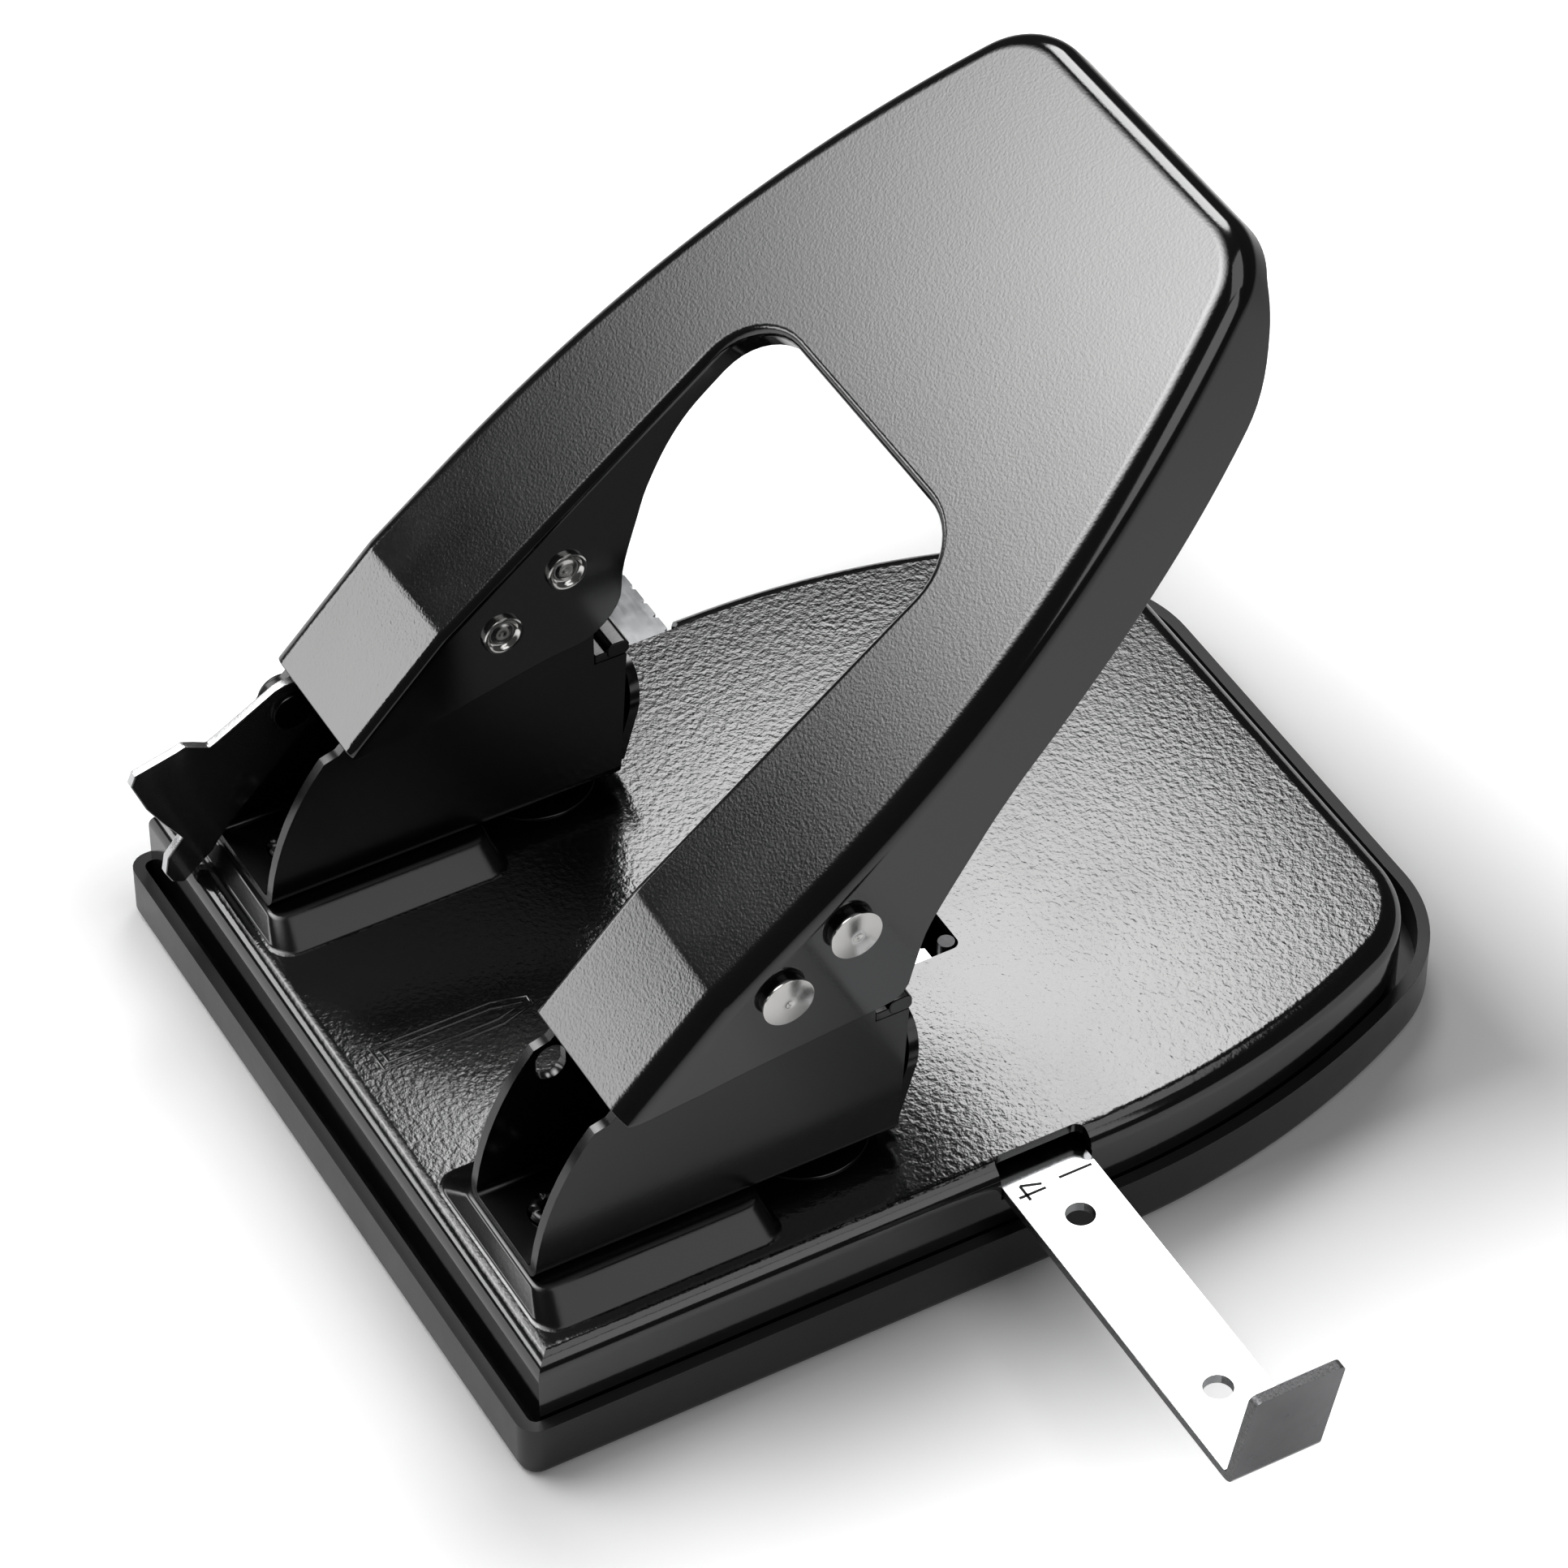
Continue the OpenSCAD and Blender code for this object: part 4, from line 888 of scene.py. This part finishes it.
for label, side in (("left", -1), ("right", 1)):
    plate = copyNode("pin_guide_" + label, "pin_guide_plate_" + label)
    softenEdges(plate, lipForm["edge"], 35, 2, 40)
    middle = side * baseForm["pinAt"][0]
    lip = drawBox("lip", (middle - lipForm["halfWidth"], lipForm["y"][0], lipForm["z"][0]),
                  (middle + lipForm["halfWidth"], lipForm["y"][1], lipForm["z"][1]))
    editPiece(lip, "EDGE")
    pick(lip, "edges", lambda e: abs(e.verts[0].co.x - e.verts[1].co.x) > 5 * mm)
    bpy.ops.mesh.bevel(offset=lipForm["roll"] * mm, segments=6, affect="EDGES")
    leaveEdit()
    softenEdges(lip, lipForm["edge"], 50, 2, 40)
    plate = joinAll([plate, lip], "pin_guide_plate_" + label)
    dress(plate, "base", "black_paint", [smoothPaint], "pin_guide_" + label)


# ---- rivets of the brackets: tubes whose split ends curl outwards

footRivetForm = {
    "at": [(-64.0, 23.4), (-47.7, 23.4)], "petals": 6, "splitWidth": 0.45, "splitFrom": 1.75,
    "firstSplit": 0.3, "splitIn": 0.35, "splitDown": 0.45, "headAbove": 23.5, "headDrop": 1.2,
    # radius and height over the bracket's floor
    "curl": [(1.15, -0.6), (1.2, 0.2), (1.35, 0.62), (1.7, 0.98), (2.2, 1.08), (2.75, 0.98), (3.15, 0.68),
             (3.3, 0.3), (3.12, 0.1), (2.8, 0.16), (2.5, 0.3), (2.1, 0.1), (2.0, -0.2)],
}


def makeFootRivets(form):
    piece = copyNode("bracket_rivets", "bracket_rivet_set")
    editPiece(piece)                     # the CAD's plain heads make room for the curled ends
    pick(piece, "verts", lambda v: v.co.z / mm > form["headAbove"])
    bpy.ops.transform.translate(value=(0, 0, -form["headDrop"] * mm))
    leaveEdit()
    softenEdges(piece, 0.15, 35, 2, 40)
    curls = []
    pinX = baseForm["pinAt"][0]
    for x in (-pinX, pinX):
        for y, z in form["at"]:
            curl = drawLine("curl", [(x + r, y, z + h) for r, h in form["curl"]])
            editPiece(curl)
            selectAll()
            bpy.ops.mesh.spin(steps=48, angle=2 * math.pi, center=(x * mm, y * mm, 0), axis=(0, 0, 1))
            leaveEdit()
            outward(curl)
            editPiece(curl)
            for k in range(form["petals"]):  # each split end bends down between its neighbours
                turn = 2 * math.pi * (k + form["firstSplit"]) / form["petals"]
                along, middle = Vector((math.cos(turn), math.sin(turn), 0)), Vector((x, y, 0)) * mm
                pick(curl, "verts", lambda v: (v.co - middle).dot(along) > form["splitFrom"] * mm
                     and abs((v.co - middle).cross(along).z) < form["splitWidth"] * mm)
                bend = -form["splitIn"] * mm
                bpy.ops.transform.translate(value=(along.x * bend, along.y * bend, -form["splitDown"] * mm))
            leaveEdit()
            smoothBy(curl, 45)
            curls.append(curl)
    return joinAll([piece] + curls, "bracket_rivet_set")


footRivets = makeFootRivets(footRivetForm)
dress(footRivets, "base", "dark_steel", [darkSteel], "bracket_rivets")


# ---- smaller pieces, finished from their CAD forms

finishes = [
    # node, name, body, slot, material, edge width
    ("bracket_left", "bracket_shell_left", "base", "black_paint", smoothPaint, 0.24),
    ("bracket_right", "bracket_shell_right", "base", "black_paint", smoothPaint, 0.24),
    ("die_left", "die_ring_left", "base", "tool_steel", toolSteel, 0.12),
    ("die_right", "die_ring_right", "base", "tool_steel", toolSteel, 0.12),
    ("punch_pin_left", "punch_pin_rod_left", "pin_left", "tool_steel", toolSteel, 0.15),
    ("punch_pin_right", "punch_pin_rod_right", "pin_right", "tool_steel", toolSteel, 0.15),
    ("spring_cap_left", "spring_cap_turned_left", "pin_left", "dark_steel", darkSteel, 0.3),
    ("spring_cap_right", "spring_cap_turned_right", "pin_right", "dark_steel", darkSteel, 0.3),
    ("lock_rivet", "lock_rivet_eyelet", "base", "dark_steel", darkSteel, 0.15),
    ("guide_detent", "guide_detent_spring", "base", "dark_steel", darkSteel, 0.12),
    ("guide_rails", "guide_rail_straps", "base", "dark_steel", darkSteel, 0.15),
]
for node, name, body, slotName, material, width in finishes:
    piece = copyNode(node, name)
    softenEdges(piece, width, 35, 2, 40)
    dress(piece, body, slotName, [material], node)


# ---- camera, at the photograph's angle

cameraForm = {"azimuth": 60.73, "elevation": 44.09, "roll": 0.08, "target": (16.7, -15.3, 60.6),
              "distance": 890.5, "lens": 150.95}


def placeCamera(form):
    a, e = math.radians(form["azimuth"]), math.radians(form["elevation"])
    back = Vector((math.sin(a) * math.cos(e), -math.cos(a) * math.cos(e), math.sin(e)))
    deselectAll()
    bpy.ops.object.camera_add(location=(Vector(form["target"]) + back * form["distance"]) * mm)
    camera = bpy.context.object
    turn = (-back).to_track_quat("-Z", "Y").to_matrix() @ Matrix.Rotation(math.radians(form["roll"]), 3, "Z")
    camera.rotation_euler = turn.to_euler()
    camera.data.sensor_width, camera.data.lens = 36, form["lens"]
    camera.data.clip_start, camera.data.clip_end = 0.05, 20
    scene.camera = camera


placeCamera(cameraForm)


# ---- floor, lamps and surroundings

studio = {
    # floor glow for camera rays: low at the footprint's edge and full beyond the given width, a painted
    # contact shadow round the object
    "floorColour": 0.82, "floorSize": 8, "floorGlowAndShadow": (0.03, 0.90), "paintedShadowFrom": (62, 79), "paintedShadowWidth": 48,
    "mirrorGlow": 0.10, "worldGlow": 0.04,
    # place in mm, point it looks at, direction of its height, width and height in m, radiance in the middle,
    # share of its half size over which it stays even before it fades out
    "lamps": {
        "deck_softbox": ((-277, 190, 433), (-21, 159, 4), (0.0, 1.0, 0.0), 0.28, 0.28, 6.0, 0.6),
        "handle_softbox": ((-228, -233, 493), (28, -264, 64), (0.0, 1.0, 0.0), 0.66, 0.556, 8.0, 0.0),
        "flap_lamp": ((-310, -425, 176), (0, -53, 56), (0.0, 0.0, 1.0), 0.38, 0.12, 3.8, 1),
        "side_lamp": ((1200, 300, 1000), (0, 0, 50), (0.0, 0.0, 1.0), 0.80, 0.80, 1.0, 1),
        "ceiling_lamp": ((260, 290, 920), (40, -55, 20), (0.0, 1.0, 0.0), 0.60, 0.55, 0.9, 1),
    },
}


def setStage(form):
    deselectAll()
    bpy.ops.mesh.primitive_plane_add(size=form["floorSize"], location=(0, 0, 0))
    floor = bpy.context.object
    floor.name = "studio_floor"
    material, nodes, links, shader = startMaterial("studio floor")
    grain = addNode(nodes, "ShaderNodeTexNoise", Scale=60.0, Detail=2.0)
    place = nodes.new("ShaderNodeTexCoord")
    links.new(place.outputs["Object"], grain.inputs["Vector"])
    c = form["floorColour"]
    links.new(colourRange(nodes, links, grain.outputs[0], (c - 0.01,) * 3, (c + 0.01,) * 3),
              shader.inputs["Base Color"])
    shader.inputs["Roughness"].default_value = 0.9
    shader.inputs["Emission Color"].default_value = (1, 1, 1, 1)
    ray = nodes.new("ShaderNodeLightPath")
    seen = mathNode(nodes, links, "ADD", ray.outputs["Is Camera Ray"], ray.outputs["Is Transmission Ray"],
                    clamp=True)
    split = nodes.new("ShaderNodeSeparateXYZ")
    links.new(place.outputs["Object"], split.inputs[0])
    beyond = []                          # how far a point lies outside the footprint, each way
    for axis, edge in zip("XY", form["paintedShadowFrom"]):
        away = mathNode(nodes, links, "ABSOLUTE", split.outputs[axis], 0.0)
        away = mathNode(nodes, links, "MAXIMUM", mathNode(nodes, links, "SUBTRACT", away, edge * mm), 0.0)
        beyond.append(mathNode(nodes, links, "POWER", away, 2.0))
    away = mathNode(nodes, links, "SQRT", mathNode(nodes, links, "ADD", *beyond), 0.0)
    # the glow rises from low at the footprint to full further out: painted shadow round the object
    glow = rangeNode(nodes, links, away, 0.0, form["paintedShadowWidth"] * mm, *form["floorGlowAndShadow"])
    seen = mathNode(nodes, links, "MULTIPLY", seen, glow)
    mirrored = mathNode(nodes, links, "MULTIPLY", ray.outputs["Is Glossy Ray"], form["mirrorGlow"])
    links.new(mathNode(nodes, links, "ADD", seen, mirrored), shader.inputs["Emission Strength"])
    floor.data.materials.append(material)

    for name, (place, aim, upward, wide, high, radiance, even) in form["lamps"].items():
        deselectAll()
        back = (Vector(place) - Vector(aim)).normalized()
        across = Vector(upward).cross(back).normalized()
        bpy.ops.object.light_add(type="AREA", location=Vector(place) * mm)
        lamp = bpy.context.object
        lamp.name = name
        lamp.data.shape = "RECTANGLE"
        lamp.data.size, lamp.data.size_y = wide, high
        lamp.data.energy = radiance * math.pi * wide * high
        lamp.rotation_euler = Matrix((across, back.cross(across), back)).transposed().to_euler()
        if even < 1:
            lamp.data.use_nodes = True
            nodes, links = lamp.data.node_tree.nodes, lamp.data.node_tree.links
            spot = nodes.new("ShaderNodeNewGeometry")
            centred = nodes.new("ShaderNodeMapping")
            centred.inputs["Location"].default_value = (-1, -1, 0)
            centred.inputs["Scale"].default_value = (2, 2, 0)
            links.new(spot.outputs["Parametric"], centred.inputs["Vector"])
            length = nodes.new("ShaderNodeVectorMath")
            length.operation = "LENGTH"
            links.new(centred.outputs[0], length.inputs[0])
            fade = rangeNode(nodes, links, length.outputs["Value"], even, 1, 1, 0)
            fade.node.interpolation_type = "SMOOTHSTEP"
            links.new(fade, nodes["Emission"].inputs["Strength"])

    world = bpy.data.worlds.new("studio surroundings")
    scene.world = world
    world.use_nodes = True
    nodes, links = world.node_tree.nodes, world.node_tree.links
    ray = nodes.new("ShaderNodeLightPath")
    glow = rangeNode(nodes, links, ray.outputs["Is Camera Ray"], 0, 1, form["worldGlow"], 1.0)
    links.new(glow, nodes["Background"].inputs["Strength"])
    nodes["Background"].inputs["Color"].default_value = (1, 1, 1, 1)
    scene.view_settings.view_transform = "Standard"


setStage(studio)
deselectAll()
print("stage ready")
